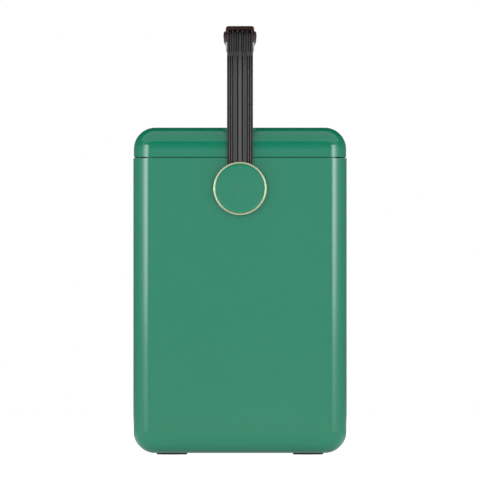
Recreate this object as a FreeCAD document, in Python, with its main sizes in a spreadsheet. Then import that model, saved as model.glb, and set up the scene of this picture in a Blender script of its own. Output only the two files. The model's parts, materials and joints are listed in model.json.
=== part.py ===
# Compressor cooler fridge with a swinging strap-style carry handle.
#
# Frame: +Z up, millimetres.  The origin is on the floor under the centre of
# the cabinet.  X runs across the narrow end faces, Y along the long sides.
# The handle turns about the Y axis through both end faces, the lid turns
# about a line parallel to Y along the -X side, and the refrigeration machinery
# stands in a compartment at the +Y end.
import FreeCAD, Part
import math
import os
import Sketcher
from FreeCAD import Vector as V

doc = FreeCAD.newDocument("cooler_fridge")
sheet = doc.addObject("Spreadsheet::Sheet", "Dims")
cells = []


class Q:
    """A length that carries its sheet expression and its present value."""

    def __init__(self, text, value):
        self.text, self.value = text, float(value)

    def __add__(self, o):
        o = q(o)
        return Q("(%s + %s)" % (self.text, o.text), self.value + o.value)

    def __radd__(self, o):
        return q(o) + self

    def __sub__(self, o):
        o = q(o)
        return Q("(%s - %s)" % (self.text, o.text), self.value - o.value)

    def __rsub__(self, o):
        return q(o) - self

    def __mul__(self, o):
        o = q(o)
        return Q("(%s * %s)" % (self.text, o.text), self.value * o.value)

    def __rmul__(self, o):
        return q(o) * self

    def __truediv__(self, o):
        o = q(o)
        return Q("(%s / %s)" % (self.text, o.text), self.value / o.value)

    def __neg__(self):
        return Q("(0 - %s)" % self.text, -self.value)


def q(v):
    if isinstance(v, Q):
        return v
    v = float(v)
    return Q("%.6g" % v if v >= 0 else "(0 - %.6g)" % -v, v)


def dim(alias, value):
    cells.append(alias)
    cell = "B%d" % len(cells)
    sheet.set("A%d" % len(cells), alias)
    sheet.set(cell, "%g" % value)
    sheet.setAlias(cell, alias)
    return Q("Dims.%s" % alias, value)


# ---------------------------------------------------------------- dimensions
body_w = dim("body_width", 239.2)
body_l = dim("body_length", 440.0)
shell_low = dim("shell_low", 2.0)
shell_top = dim("shell_top", 332.6)
corner = dim("corner_radius", 24.0)
wall = dim("shell_wall", 3.0)
lid_w = dim("lid_width", 238.0)
lid_l = dim("lid_length", 438.8)
lid_low = dim("lid_low", 333.9)
lid_top = dim("lid_top", 366.8)
tub_w = dim("tub_width", 176.0)
tub_front = dim("tub_front", -188.0)
tub_back = dim("tub_back", 72.0)
tub_floor = dim("tub_floor", 38.0)
liner_t = dim("liner_wall", 2.0)
deck_top = dim("deck_top", 337.6)
deck_t = dim("deck_thick", 3.0)
foam_back = dim("foam_back", 95.0)
pivot_z = dim("pivot_height", 298.6)
strap_w = dim("strap_width", 29.1)
strap_t = dim("strap_thick", 6.0)
strap_gap = dim("strap_gap", 1.5)
elbow_z = dim("elbow_height", 449.5)
elbow_r = dim("elbow_outer_radius", 26.0)
handle_top = dim("handle_top", 480.6)
grip_w = dim("grip_width", 37.4)
grip_half = dim("grip_half_length", 196.0)
ring_d = dim("ring_diameter", 60.2)
ring_b = dim("ring_band", 2.3)
medal_t = dim("medallion_thick", 4.0)
foot_x = dim("foot_centre_x", 76.4)
foot_y = dim("foot_centre_y", 168.0)
foot_d = dim("foot_diameter", 34.2)
hinge_x = dim("hinge_axis_x", -117.0)
hinge_z = dim("hinge_axis_z", 336.0)
knuckle_r = dim("knuckle_radius", 2.0)
pin_r = dim("hinge_pin_radius", 1.0)
pin_clear = dim("running_clearance", 0.05)
hinge_y = dim("hinge_centre_y", 120.0)
hinge_l = dim("hinge_length", 60.0)
pivot_r = dim("pivot_bolt_radius", 4.0)
fan_y = dim("fan_axis_y", 150.0)
fan_z = dim("fan_axis_z", 225.0)
fan_r = dim("fan_radius", 41.0)
comp_x = dim("compressor_x", -28.0)
comp_y = dim("compressor_y", 156.0)
comp_r = dim("compressor_radius", 47.0)
panel_y = dim("panel_centre_y", 155.0)
panel_z = dim("panel_centre_z", 288.0)
button_r = dim("button_radius", 4.6)
button_travel = dim("button_travel", 1.0)
doc.recompute()

nodes = []          # (label, object) in the order they are made
hx, hy = body_w / 2, body_l / 2
strap_in = hy + strap_gap                   # inner face of the handle arms
strap_out = strap_in + strap_t              # outer face of the handle arms


# ------------------------------------------------------------------- helpers
def bind(obj, prop, value):
    obj.setExpression(prop, q(value).text)


def node(label):
    body = doc.addObject("PartDesign::Body", label)
    body.Label = label
    nodes.append((label, body))
    return body


def place(obj, x, y, z, rotation=None):
    if rotation is not None:
        obj.Placement = FreeCAD.Placement(V(0, 0, 0), rotation)
    for axis, v in zip("xyz", (x, y, z)):
        bind(obj, "Placement.Base." + axis, v)


def box(body, x0, x1, y0, y1, z0, z1, cut=False):
    """A rectangular block added to the body, or cut from it."""
    f = body.newObject("PartDesign::SubtractiveBox" if cut else "PartDesign::AdditiveBox",
                       "Cut" if cut else "Block")
    bind(f, "Length", q(x1) - x0)
    bind(f, "Width", q(y1) - y0)
    bind(f, "Height", q(z1) - z0)
    place(f, x0, y0, z0)
    return f


TURN = {"Z": FreeCAD.Rotation(), "X": FreeCAD.Rotation(V(0, 1, 0), 90),
        "Y": FreeCAD.Rotation(V(1, 0, 0), -90)}


def cyl(body, axis, x, y, z, r, length, cut=False):
    """A cylinder that starts at x, y, z and runs along the positive axis."""
    f = body.newObject("PartDesign::SubtractiveCylinder" if cut else "PartDesign::AdditiveCylinder",
                       "Bore" if cut else "Round")
    bind(f, "Radius", r)
    bind(f, "Height", length)
    place(f, x, y, z, TURN[axis])
    return f


def ends(edge):
    b = edge.BoundBox
    return (b.XMin, b.XMax, b.YMin, b.YMax, b.ZMin, b.ZMax)


def soften(body, base, r, test, chamfer=False):
    """Fillet the edges of the base feature that pass the test."""
    doc.recompute()
    names = ["Edge%d" % (i + 1) for i, e in enumerate(base.Shape.Edges) if test(*ends(e))]
    if not names:
        raise RuntimeError("no edge to round on " + body.Label)
    f = body.newObject("PartDesign::Chamfer" if chamfer else "PartDesign::Fillet", "Round")
    f.Base = (base, names)
    bind(f, "Size" if chamfer else "Radius", r)
    doc.recompute()
    if f.Shape.isNull() or not f.Shape.isValid():
        raise RuntimeError("rounding failed on " + body.Label)
    return f


def near(a, b, tol=0.02):
    return abs(a - (b.value if isinstance(b, Q) else b)) < tol


def upright(x0, x1, y0, y1, z0, z1):
    return x1 - x0 < 0.02 and y1 - y0 < 0.02 and z1 - z0 > 0.5


def along_y(x0, x1, y0, y1, z0, z1):
    return x1 - x0 < 0.02 and z1 - z0 < 0.02 and y1 - y0 > 0.5


def along_x(x0, x1, y0, y1, z0, z1):
    return z1 - z0 < 0.02 and y1 - y0 < 0.02 and x1 - x0 > 0.5


def plane(body, role):
    return [o for o in body.Origin.OriginFeatures if o.Role == role][0]


def sketch(body, role, points, offset=0, name="Profile"):
    """A closed polygon whose corners are bound to sheet expressions."""
    sk = body.newObject("Sketcher::SketchObject", name)
    sk.AttachmentSupport = [(plane(body, role), "")]
    sk.MapMode = "FlatFace"
    bind(sk, "AttachmentOffset.Base.z", offset)
    pts = [(q(a), q(b)) for a, b in points]
    n = len(pts)
    for i in range(n):
        a, b = pts[i], pts[(i + 1) % n]
        sk.addGeometry(Part.LineSegment(V(a[0].value, a[1].value, 0),
                                        V(b[0].value, b[1].value, 0)), False)
    for i in range(n):
        sk.addConstraint(Sketcher.Constraint("Coincident", i, 2, (i + 1) % n, 1))
    for i, (a, b) in enumerate(pts):
        for kind, v in (("DistanceX", a), ("DistanceY", b)):
            if abs(v.value) < 1e-9:
                sk.addConstraint(Sketcher.Constraint("PointOnObject", i, 1, -2 if kind == "DistanceX" else -1))
            else:
                k = sk.addConstraint(Sketcher.Constraint(kind, -1, 1, i, 1, v.value))
                sk.setExpression("Constraints[%d]" % k, v.text)
    return sk


def pad(body, sk, length, middle=True, back=False):
    f = body.newObject("PartDesign::Pad", "Pad")
    f.Profile = sk
    bind(f, "Length", length)
    if middle:
        f.SideType = "Symmetric"
    f.Reversed = back
    return f


def pocket(body, sk, length, middle=True, back=False):
    f = body.newObject("PartDesign::Pocket", "Pocket")
    f.Profile = sk
    bind(f, "Length", length)
    if middle:
        f.SideType = "Symmetric"
    f.Reversed = back
    return f


def turned(label, points, at, axis="Z"):
    """A lathe-turned piece: profile points are (radius, height)."""
    body = node(label)
    sk = sketch(body, "XZ_Plane", points)
    rv = body.newObject("PartDesign::Revolution", "Turn")
    rv.Profile = sk
    rv.ReferenceAxis = (sk, ["V_Axis"])
    rv.Angle = 360
    place(body, at[0], at[1], at[2], TURN[axis])
    return body


def repeat(body, feature, role_axis, count, span):
    lp = body.newObject("PartDesign::LinearPattern", "Row")
    lp.Originals = [feature]
    lp.Direction = (feature.Profile[0] if hasattr(feature, "Profile") else None, [role_axis])
    lp.Occurrences = count
    bind(lp, "Length", span)
    body.Tip = lp
    return lp


def group(label, shapes):
    """Identical small pieces kept together as separate solids."""
    f = doc.addObject("Part::Feature", label)
    f.Label = label
    f.Shape = Part.makeCompound(shapes)
    f.Placement = FreeCAD.Placement()
    nodes.append((label, f))
    return f


def rod(p, direction, r, length, r2=0.0):
    s = Part.makeCylinder(r, length, V(*p), V(*direction))
    if r2:
        s = s.cut(Part.makeCylinder(r2, length + 2, V(*p) - V(*direction), V(*direction)))
    return s


def pipe(label, points, r, bend):
    """A round tube along straight runs joined by tangent arcs."""
    pts = [V(*p) for p in points]
    edges, last = [], pts[0]
    for i in range(1, len(pts) - 1):
        a, b = (pts[i - 1] - pts[i]), (pts[i + 1] - pts[i])
        a.normalize()
        b.normalize()
        half = a.getAngle(b) / 2
        cutoff = bend / math.tan(half)
        p0, p1 = pts[i] + a * cutoff, pts[i] + b * cutoff
        mid = a + b
        mid.normalize()
        top = pts[i] + mid * (bend / math.sin(half) - bend)
        if (p0 - last).Length > 0.01:
            edges.append(Part.LineSegment(last, p0).toShape())
        edges.append(Part.Arc(p0, top, p1).toShape())
        last = p1
    edges.append(Part.LineSegment(last, pts[-1]).toShape())
    wire = Part.Wire(edges)
    start = (pts[1] - pts[0]).normalize()
    circle = Part.Wire([Part.makeCircle(r, pts[0], start)])
    solid = wire.makePipeShell([circle], True, True)
    f = doc.addObject("Part::Feature", label)
    f.Label = label
    f.Shape = solid
    f.Placement = FreeCAD.Placement()
    nodes.append((label, f))
    return f


# ================================================================== cabinet
# ---- outer shell: one moulded tub with rounded edges, open at the top
b = node("outer_shell")
box(b, -hx, hx, -hy, hy, shell_low, shell_top)
c = box(b, -hx + wall, hx - wall, -hy + wall, hy - wall, shell_low + wall, shell_top + 1, cut=True)
iw, il, iz = (hx - wall).value, (hy - wall).value, (shell_low + wall).value


def inner_edge(x0, x1, y0, y1, z0, z1):
    on_wall = near(abs(x0), iw) and near(abs(x1), iw) or near(abs(y0), il) and near(abs(y1), il)
    return on_wall and (upright(x0, x1, y0, y1, z0, z1) and near(abs(x0), iw) or near(z0, iz) and near(z1, iz))


f = soften(b, c, corner - wall, inner_edge)


def outer_edge(x0, x1, y0, y1, z0, z1):
    return (upright(x0, x1, y0, y1, z0, z1) and near(abs(x0), hx)
            or near(z0, shell_low) and near(z1, shell_low))


f = soften(b, f, corner, outer_edge)
vent_h = dim("vent_height", 130.0)
vent_w = dim("vent_width", 80.0)
vent_lo_z = dim("vent_low_z", 56.0)
vent_hi_z = dim("vent_high_z", 160.0)
vent_y = dim("vent_centre_y", 152.0)
doc.recompute()
vent_y0, vent_y1 = vent_y - vent_w / 2, vent_y + vent_w / 2
panel_w = dim("panel_width", 74.0)
panel_h = dim("panel_height", 46.0)
doc.recompute()
panel_y0, panel_y1 = panel_y - panel_w / 2, panel_y + panel_w / 2
panel_z0, panel_z1 = panel_z - panel_h / 2, panel_z + panel_h / 2
box(b, hx - 6, hx + 1, vent_y0, vent_y1, vent_lo_z, vent_lo_z + vent_h, cut=True)
box(b, -hx - 1, -hx + 6, vent_y0, vent_y1, vent_hi_z, vent_hi_z + vent_h, cut=True)
box(b, hx - 6, hx + 1, panel_y0, panel_y1, panel_z0, panel_z1, cut=True)
box(b, -60, 60, hy - 6, hy + 1, 96, 196, cut=True)
sock_x = dim("socket_x", 76.0)
sock_z = dim("socket_z", 58.0)
doc.recompute()
c = box(b, sock_x - 14, sock_x + 14, hy - 6, hy + 1, sock_z - 10, sock_z + 10, cut=True)


def window_edge(x0, x1, y0, y1, z0, z1):
    if near(abs(x0), iw) and near(abs(x1), hx) or near(abs(x1), iw) and near(abs(x0), hx):
        return y1 - y0 < 0.02 and z1 - z0 < 0.02
    if near(y0, il) and near(y1, hy):
        return x1 - x0 < 0.02 and z1 - z0 < 0.02
    return False


f = soften(b, c, 3.0, window_edge)
for sy in (-1, 1):
    for sx in (-1, 1):
        cyl(b, "Z", foot_x * sx, foot_y * sy, shell_low + 1, 5.0, 11)
        cyl(b, "Z", foot_x * sx, foot_y * sy, shell_low - 1, foot_d / 2, 2.5, cut=True)
        cyl(b, "Z", foot_x * sx, foot_y * sy, shell_low, 2.0, 13, cut=True)
cyl(b, "Y", 0, -hy - 1, pivot_z, 6.0, 6, cut=True)
cyl(b, "Y", 0, hy - 5, pivot_z, 6.0, 6, cut=True)

# ---- deck round the tub mouth, with the low flange that closes the shell
b = node("top_collar")
box(b, -hx + wall, hx - wall, -hy + wall, hy - wall, 326, shell_top)
neck_l = dim("neck_left", -113.8)
neck_r = dim("neck_right", 115.6)
neck_y = dim("neck_half_length", 215.6)
doc.recompute()
f = box(b, neck_l, neck_r, -neck_y, neck_y, 327, deck_top)
f = soften(b, f, 20.0, lambda x0, x1, y0, y1, z0, z1: upright(x0, x1, y0, y1, z0, z1) and (
    near(z1, deck_top) and (near(x0, neck_l) or near(x0, neck_r))))
f = soften(b, f, corner - wall, lambda x0, x1, y0, y1, z0, z1: upright(x0, x1, y0, y1, z0, z1)
           and near(abs(x0), iw) and near(abs(y0), il))
f = soften(b, f, 0.8, lambda x0, x1, y0, y1, z0, z1: near(z0, deck_top) and near(z1, deck_top))
box(b, neck_l + 3, neck_r - 3, -neck_y + 3, neck_y - 3, 325, deck_top - deck_t, cut=True)
tub_x = tub_w / 2
box(b, -tub_x - liner_t - 3, tub_x + liner_t + 3, tub_front - liner_t - 3, tub_back + liner_t + 3,
    326, deck_top - deck_t + 0.5)
box(b, -tub_x, tub_x, tub_front, tub_back, 325, deck_top + 1, cut=True)
box(b, -tub_x - liner_t, tub_x + liner_t, tub_front - liner_t, tub_back + liner_t,
    325, deck_top - deck_t, cut=True)
f = box(b, neck_r - 12, neck_r + 2, -36, 36, shell_top, deck_top + 1, cut=True)      # finger scoop
box(b, neck_r - 12 - 3, neck_r, -39, 39, 327, shell_top)
for sy in (-1, 1):
    box(b, neck_l - 4, neck_l, hinge_y * sy - hinge_l / 2 - 0.5, hinge_y * sy + hinge_l / 2 + 0.5,
        325, shell_top + 1, cut=True)
    for dy in (-20, 20):
        cyl(b, "X", neck_l - 1, hinge_y * sy + dy, 328.6, 1.5, 6, cut=True)

# ---- tub liner
b = node("inner_liner")
ox = tub_x + liner_t
y0, y1 = tub_front - liner_t, tub_back + liner_t
z0, z1 = tub_floor - liner_t, deck_top - deck_t
box(b, -ox, ox, y0, y1, z0, z1)
c = box(b, -tub_x, tub_x, tub_front, tub_back, tub_floor, z1 + 1, cut=True)
f = soften(b, c, 12.0, lambda a0, a1, b0, b1, c0, c1: (
    near(c0, tub_floor) and near(c1, tub_floor)
    or upright(a0, a1, b0, b1, c0, c1) and near(abs(a0), tub_x)))
f = soften(b, f, 3.0, lambda a0, a1, b0, b1, c0, c1: upright(a0, a1, b0, b1, c0, c1) and near(abs(a0), ox)
           or near(c0, z0) and near(c1, z0))

# ---- foamed insulation round the liner
b = node("foam_insulation")
fx, fy, fz = hx - wall - 0.2, -hy + wall + 0.2, shell_low + wall + 0.2
f = box(b, -fx, fx, fy, foam_back, fz, 325.8)
f = soften(b, f, corner - wall, lambda x0, x1, y0, y1, z0, z1: (
    upright(x0, x1, y0, y1, z0, z1) and near(y0, fy)
    or near(z0, fz) and near(z1, fz) and not (near(y0, foam_back) and near(y1, foam_back))))
box(b, -ox - 2.6, ox + 2.6, y0 - 2.6, y1 + 2.6, z0, 327, cut=True)
for sx in (-1, 1):
    cyl(b, "Z", foot_x * sx, -foot_y, 4, 5.5, 10, cut=True)
cyl(b, "Y", 0, -hy + 2, pivot_z, 13.0, 5.5, cut=True)
cyl(b, "Y", 0, -hy + 2, pivot_z, 6.5, 18, cut=True)

# ---- evaporator: a roll-bond plate wrapped round the liner
b = node("evaporator_wrap")
box(b, -ox - 2.4, ox + 2.4, y0 - 2.4, y1 + 2.4, 80, 230)
box(b, -ox, ox, y0, y1, 79, 231, cut=True)

# ---- bulkhead between the cold side and the machinery
b = node("bulkhead_plate")
k = dim("bulkhead_gap", 0.4)
doc.recompute()
bx, bz = hx - wall - k, shell_low + wall + k
sk = sketch(b, "XZ_Plane", [(-bx, bz + 21), (-bx + 6.2, bz + 6.2), (-bx + 21, bz), (bx - 21, bz),
                            (bx - 6.2, bz + 6.2), (bx, bz + 21), (bx, 325.6), (-bx, 325.6)], -(foam_back + 1.3))
pad(b, sk, 2.0)
cyl(b, "Y", 72, foam_back, 60, 4.0, 4, cut=True)
cyl(b, "Y", 90, foam_back, 60, 1.6, 4, cut=True)

# ---- rubber feet and their screws
feet, screws = [], []
for sy in (-1, 1):
    for sx in (-1, 1):
        p = (foot_x.value * sx, foot_y.value * sy)
        r = foot_d.value / 2 - 0.1
        foot = Part.makeCylinder(r, 3.5, V(p[0], p[1], 0))
        foot = foot.makeFillet(0.6, [e for e in foot.Edges if near(e.BoundBox.ZMax, 0)])
        foot = foot.cut(Part.makeCylinder(4.6, 1.6, V(p[0], p[1], 0)))
        foot = foot.cut(Part.makeCylinder(2.0, 5, V(p[0], p[1], 0)))
        feet.append(foot)
        s = Part.makeCylinder(2.0, 11.6, V(p[0], p[1], 1.4)).fuse(
            Part.makeCylinder(4.2, 1.0, V(p[0], p[1], 0.6))).removeSplitter()
        s = s.cut(Part.makeBox(5, 1.0, 0.6, V(p[0] - 2.5, p[1] - 0.5, 0.6)))
        s = s.cut(Part.makeBox(1.0, 5, 0.6, V(p[0] - 0.5, p[1] - 2.5, 0.6)))
        screws.append(s)
group("rubber_feet", feet)
group("foot_screws", screws)


# ---- slotted vent grilles, flush with the shell
def grille(label, side, a0, a1, c0, c1, slots):
    b = node(label)
    g = 0.25
    if side == "rear":
        f = box(b, q(a0) + g, q(a1) - g, hy - 3.05, hy - 0.2, q(c0) + g, q(c1) - g)
        f = box(b, q(a0) - 4, q(a1) + 4, hy - 5.0, hy - 3.05, q(c0) - 4, q(c1) + 4)
        f = soften(b, f, 2.6, lambda x0, x1, y0, y1, z0, z1: x1 - x0 < .02 and z1 - z0 < .02 and y1 - y0 > .5)
        role, off = "XZ_Plane", -(hy - 3)
    else:
        s = 1 if side == "right" else -1
        xs = sorted([(hx * s - 3.0 * s).value, (hx * s - 0.2 * s).value])
        f = box(b, (hx - 3.05) if s > 0 else (-hx + 0.2), (hx - 0.2) if s > 0 else (-hx + 3.05),
                q(a0) + g, q(a1) - g, q(c0) + g, q(c1) - g)
        f = box(b, (hx - 5.0) if s > 0 else (-hx + 3.05), (hx - 3.05) if s > 0 else (-hx + 5.0),
                q(a0) - 4, q(a1) + 4, q(c0) - 4, q(c1) + 4)
        f = soften(b, f, 2.6, lambda x0, x1, y0, y1, z0, z1: y1 - y0 < .02 and z1 - z0 < .02 and x1 - x0 > .5)
        role, off = "YZ_Plane", (hx - 3) * s
    pitch = (q(c1) - c0 - 12) / slots
    zc = q(c0) + 6 + pitch / 2
    sk = sketch(b, role, [(q(a0) + 6, zc - 1.8), (q(a1) - 6, zc - 1.8), (q(a1) - 6, zc + 1.8), (q(a0) + 6, zc + 1.8)],
                off, "Slot")
    p = pocket(b, sk, 20)
    lp = b.newObject("PartDesign::LinearPattern", "Slots")
    lp.Originals = [p]
    lp.Direction = (sk, ["V_Axis"])
    lp.Occurrences = slots
    bind(lp, "Length", pitch * (slots - 1))
    b.Tip = lp
    doc.recompute()
    return b


grille("vent_grille_right", "right", vent_y0, vent_y1, vent_lo_z, vent_lo_z + vent_h, 15)
grille("vent_grille_left", "left", vent_y0, vent_y1, vent_hi_z, vent_hi_z + vent_h, 15)
grille("rear_grille", "rear", -60, 60, 96, 196, 12)

# ================================================================ machinery
# ---- steel tray under the compressor
b = node("machine_tray")
f = box(b, -94, 94, foam_back + 4, 194, shell_low + wall + 0.1, shell_low + wall + 2)
f = soften(b, f, 6.0, upright)
for sx in (-1, 1):
    cyl(b, "Z", foot_x * sx, foot_y, 4, 5.4, 5, cut=True)
mount_dx = dim("compressor_foot_x", 46.0)
mount_dy = dim("compressor_foot_y", 34.0)
doc.recompute()
for sx in (-1, 1):
    for sy in (-1, 1):
        cyl(b, "Z", comp_x + mount_dx * sx, comp_y - 6 + mount_dy * sy, 4, 2.0, 5, cut=True)

# ---- hermetic compressor: drawn steel can with a weld bead, plus foot plate
turned("compressor", [(0, 22), (30, 22), (40, 25), (45.5, 33), (47, 46), (47, 84), (49.2, 84), (49.2, 88),
                      (47, 88), (47, 112), (44.5, 126), (37, 135), (24, 140), (0, 141.5)],
       (comp_x, comp_y - 6, 0))
b = node("compressor_feet")
f = box(b, comp_x - mount_dx - 10, comp_x + mount_dx + 10, comp_y - 6 - mount_dy - 10, comp_y - 6 + mount_dy + 10,
        19.2, 22)
f = soften(b, f, 10.0, upright)
for sx in (-1, 1):
    for sy in (-1, 1):
        cyl(b, "Z", comp_x + mount_dx * sx, comp_y - 6 + mount_dy * sy, 18, 5.0, 6, cut=True)
grommets, bolts = [], []
for sx in (-1, 1):
    for sy in (-1, 1):
        p = V(comp_x.value + mount_dx.value * sx, comp_y.value - 6 + mount_dy.value * sy, 7)
        g = Part.makeCylinder(8.5, 12.2, p).fuse(Part.makeCylinder(5.0, 15, p)).fuse(
            Part.makeCylinder(7.5, 3, p + V(0, 0, 15)))
        g = g.cut(Part.makeCylinder(2.1, 30, p - V(0, 0, 1))).removeSplitter()
        grommets.append(g)
        s = Part.makeCylinder(2.0, 22, p - V(0, 0, 1.9)).fuse(Part.makeCylinder(6.5, 1.2, p + V(0, 0, 18)))
        hexa = Part.Face(Part.makePolygon([p + V(4.2 * math.cos(a * math.pi / 3), 4.2 * math.sin(a * math.pi / 3), 19.2)
                                           for a in range(7)])).extrude(V(0, 0, 3.2))
        bolts.append(s.fuse(hexa).removeSplitter())
group("compressor_grommets", grommets)
group("compressor_bolts", bolts)

b = node("terminal_cover")
f = box(b, comp_x + 47.4, comp_x + 62, comp_y - 26, comp_y + 14, 66, 83.5)
f = soften(b, f, 3.0, lambda x0, x1, y0, y1, z0, z1: near(x1, (comp_x + 62)))

# ---- electronics: drive module on a finned sink
b = node("heat_sink")
f = box(b, 44, 104, 99.2, 103.2, 214, 294)
sk = sketch(b, "XY_Plane", [(46, 103.2), (48, 103.2), (48, 116), (46, 116)], 214, "Fin")
p = pad(b, sk, 80, middle=False)
lp = b.newObject("PartDesign::LinearPattern", "Fins")
lp.Originals = [p]
lp.Direction = (sk, ["H_Axis"])
lp.Occurrences = 10
lp.Length = 54
b.Tip = lp
b = node("drive_module")
f = box(b, 44, 104, 116.2, 140, 214, 280)
f = soften(b, f, 2.5, lambda x0, x1, y0, y1, z0, z1: near(y1, 140) and near(y0, 140))

# ---- condenser: fin pack pierced by a serpentine tube
cx0, cx1 = -113.0, -89.0
cy0, cy1, cz0, cz1 = 109.0, 196.0, 167.0, 283.0
runs = [cz0 + 14.5 + 17.4 * i for i in range(6)]
tube_edges = []
tx = (cx0 + cx1) / 2
ya, yb = cy0 - 1.0, cy1 + 1.0
for i, z in enumerate(runs):
    s, e = (ya, yb) if i % 2 == 0 else (yb, ya)
    tube_edges.append(Part.LineSegment(V(tx, s, z), V(tx, e, z)).toShape())
    if i + 1 < len(runs):
        zn = runs[i + 1]
        bulge = (zn - z) / 2 * (1 if i % 2 == 0 else -1)
        tube_edges.append(Part.Arc(V(tx, e, z), V(tx, e + bulge * 0.62, (z + zn) / 2), V(tx, e, zn)).toShape())
# arcs stay within the compartment, so the bends are a little flatter than half circles
tube = None
for e in tube_edges:
    a = e.valueAt(e.FirstParameter)
    d = e.tangentAt(e.FirstParameter)
    seg = Part.Wire([e]).makePipeShell([Part.Wire([Part.makeCircle(3.2, a, d)])], True, True)
    tube = seg if tube is None else tube.fuse(seg)
tube = tube.removeSplitter()
f = doc.addObject("Part::Feature", "condenser_tube")
f.Label = "condenser_tube"
f.Shape = tube
nodes.append(("condenser_tube", f))
pack = Part.makeBox(cx1 - cx0, cy1 - cy0, cz1 - cz0, V(cx0, cy0, cz0))
slots = [Part.makeBox(cx1 - cx0 - 1.6, 3.4, cz1 - cz0 - 3.0, V(cx0 - 1, cy0 + 1.2 + 4.6 * k, cz0 + 1.5))
         for k in range(19) if cy0 + 1.2 + 4.6 * k + 3.4 < cy1 - 1]
pack = pack.cut(Part.makeCompound(slots))
straight = [rod((tx, cy0 - 1, z), (0, 1, 0), 3.2, cy1 - cy0 + 2) for z in runs]
pack = pack.cut(Part.makeCompound(straight))
f = doc.addObject("Part::Feature", "condenser_fins")
f.Label = "condenser_fins"
f.Shape = pack.removeSplitter()
nodes.append(("condenser_fins", f))

# ---- axial fan blowing through the condenser
b = node("fan_housing")
fx0, fx1 = -88.4, -63.4
f = box(b, fx0, fx1, fan_y - 46, fan_y + 46, fan_z - 46, fan_z + 46)
f = soften(b, f, 5.0, lambda x0, x1, y0, y1, z0, z1: x1 - x0 > 5 and y1 - y0 < .02 and z1 - z0 < .02)
cyl(b, "X", fx0 - 1, fan_y, fan_z, fan_r + 2, 30, cut=True)
box(b, fx1 - 3, fx1, fan_y - 44, fan_y + 44, fan_z - 2, fan_z + 2)
box(b, fx1 - 3, fx1, fan_y - 2, fan_y + 2, fan_z - 44, fan_z + 44)
cyl(b, "X", fx1 - 3, fan_y, fan_z, 16.0, 3)
cyl(b, "X", fx1 - 4, fan_y, fan_z, 5.0, 5, cut=True)
for sy in (-1, 1):
    for sz in (-1, 1):
        cyl(b, "X", fx0 - 1, fan_y + 41 * sy, fan_z + 41 * sz, 1.8, 30, cut=True)
b = node("fan_motor")
cyl(b, "X", fx1 - 14, fan_y, fan_z, 5.0, 14)
cyl(b, "X", fx1 - 12, fan_y, fan_z, 10.0, 8.9)
cyl(b, "X", fx1 - 15, fan_y, fan_z, pin_r * 1.5 + pin_clear, 20, cut=True)
b = node("fan_rotor")
cyl(b, "X", fx0 + 2.5, 0, 0, 15.0, 17.5)
cyl(b, "X", fx0 + 4.5, 0, 0, 12.5, 17, cut=True)
cyl(b, "X", fx0 + 3, 0, 0, pin_r * 1.5, 20)
sk = sketch(b, "XY_Plane", [(fx0 + 3.4, -9), (fx0 + 3.4, -7.4), (fx0 + 18.4, 9), (fx0 + 18.4, 7.4)], 13.8, "Blade")
p = pad(b, sk, fan_r - 14.9, middle=False)
pp = b.newObject("PartDesign::PolarPattern", "Blades")
pp.Originals = [p]
pp.Axis = (plane(b, "X_Axis"), [""])
pp.Angle = 360
pp.Occurrences = 7
b.Tip = pp
place(b, 0, fan_y, fan_z)
doc.recompute()
screws = []
for sy in (-1, 1):
    for sz in (-1, 1):
        p = (fx0 + 1.5, fan_y.value + 41 * sy, fan_z.value + 41 * sz)
        screws.append(rod(p, (1, 0, 0), 1.8, 25 - 1.5).fuse(
            rod((fx1, p[1], p[2]), (1, 0, 0), 3.4, 2.2)).removeSplitter())
group("fan_screws", screws)

# ---- refrigerant pipework
cxv, cyv = comp_x.value, comp_y.value - 6
pipe("discharge_pipe", [(cxv - 20, cyv + 16, 138.0), (cxv - 20, cyv + 16, 156), (-101, cyv + 16, 156),
                        (-101, 103 - 0.5, 156)][:3] + [(-101, cyv + 16, 163.5)], 2.6, 7.0)
pipe("suction_pipe", [(cxv + 18, cyv - 18, 138.6), (cxv + 18, cyv - 18, 152), (72, cyv - 18, 152), (72, cyv - 18, 60),
                      (72, 98.4, 60)], 3.6, 11.0)
turned("filter_drier", [(0, 0), (3, 0), (3, 6), (9, 14), (9, 66), (3, 74), (3, 80), (0, 80)], (90, 116, 90))
pipe("capillary_tube", [(90, 116, 90), (90, 116, 60), (90, 98.4, 60)], 1.4, 8.0)

# ================================================================ services
# ---- control panel on the +X side: bezel, window, board and four keys
b = node("control_bezel")
f = box(b, hx - 3.05, hx - 0.2, panel_y0 + 0.25, panel_y1 - 0.25, panel_z0 + 0.25, panel_z1 - 0.25)
f = box(b, hx - 5.0, hx - 3.05, panel_y0 - 4, panel_y1 + 4, panel_z0 - 3, panel_z1 + 3)
f = soften(b, f, 2.6, lambda x0, x1, y0, y1, z0, z1: y1 - y0 < .02 and z1 - z0 < .02 and x1 - x0 > .5)
lens_z0, lens_z1 = panel_z - 2, panel_z + 18
box(b, hx - 2.2, hx + 1, panel_y - 30, panel_y + 30, lens_z0, lens_z1, cut=True)
box(b, hx - 6, hx + 1, panel_y - 27, panel_y + 27, lens_z0 + 3, lens_z1 - 3, cut=True)
key_z = panel_z - 13
key_y = [-24, -8, 8, 24]
for dy in key_y:
    cyl(b, "X", hx - 6, panel_y + dy, key_z, button_r + 0.3, 7, cut=True)
b = node("display_lens")
f = box(b, hx - 2.2, hx - 0.3, panel_y - 29.9, panel_y + 29.9, lens_z0 + 0.1, lens_z1 - 0.1)
f = soften(b, f, 0.5, lambda x0, x1, y0, y1, z0, z1: near(x0, hx - 0.3) and near(x1, hx - 0.3))
b = node("panel_board")
f = box(b, hx - 11.6, hx - 10, panel_y - 34, panel_y + 34, panel_z - 21, panel_z + 21)
box(b, hx - 10, hx - 5.6, panel_y - 26, panel_y + 26, lens_z0 + 4, lens_z1 - 4)
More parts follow.
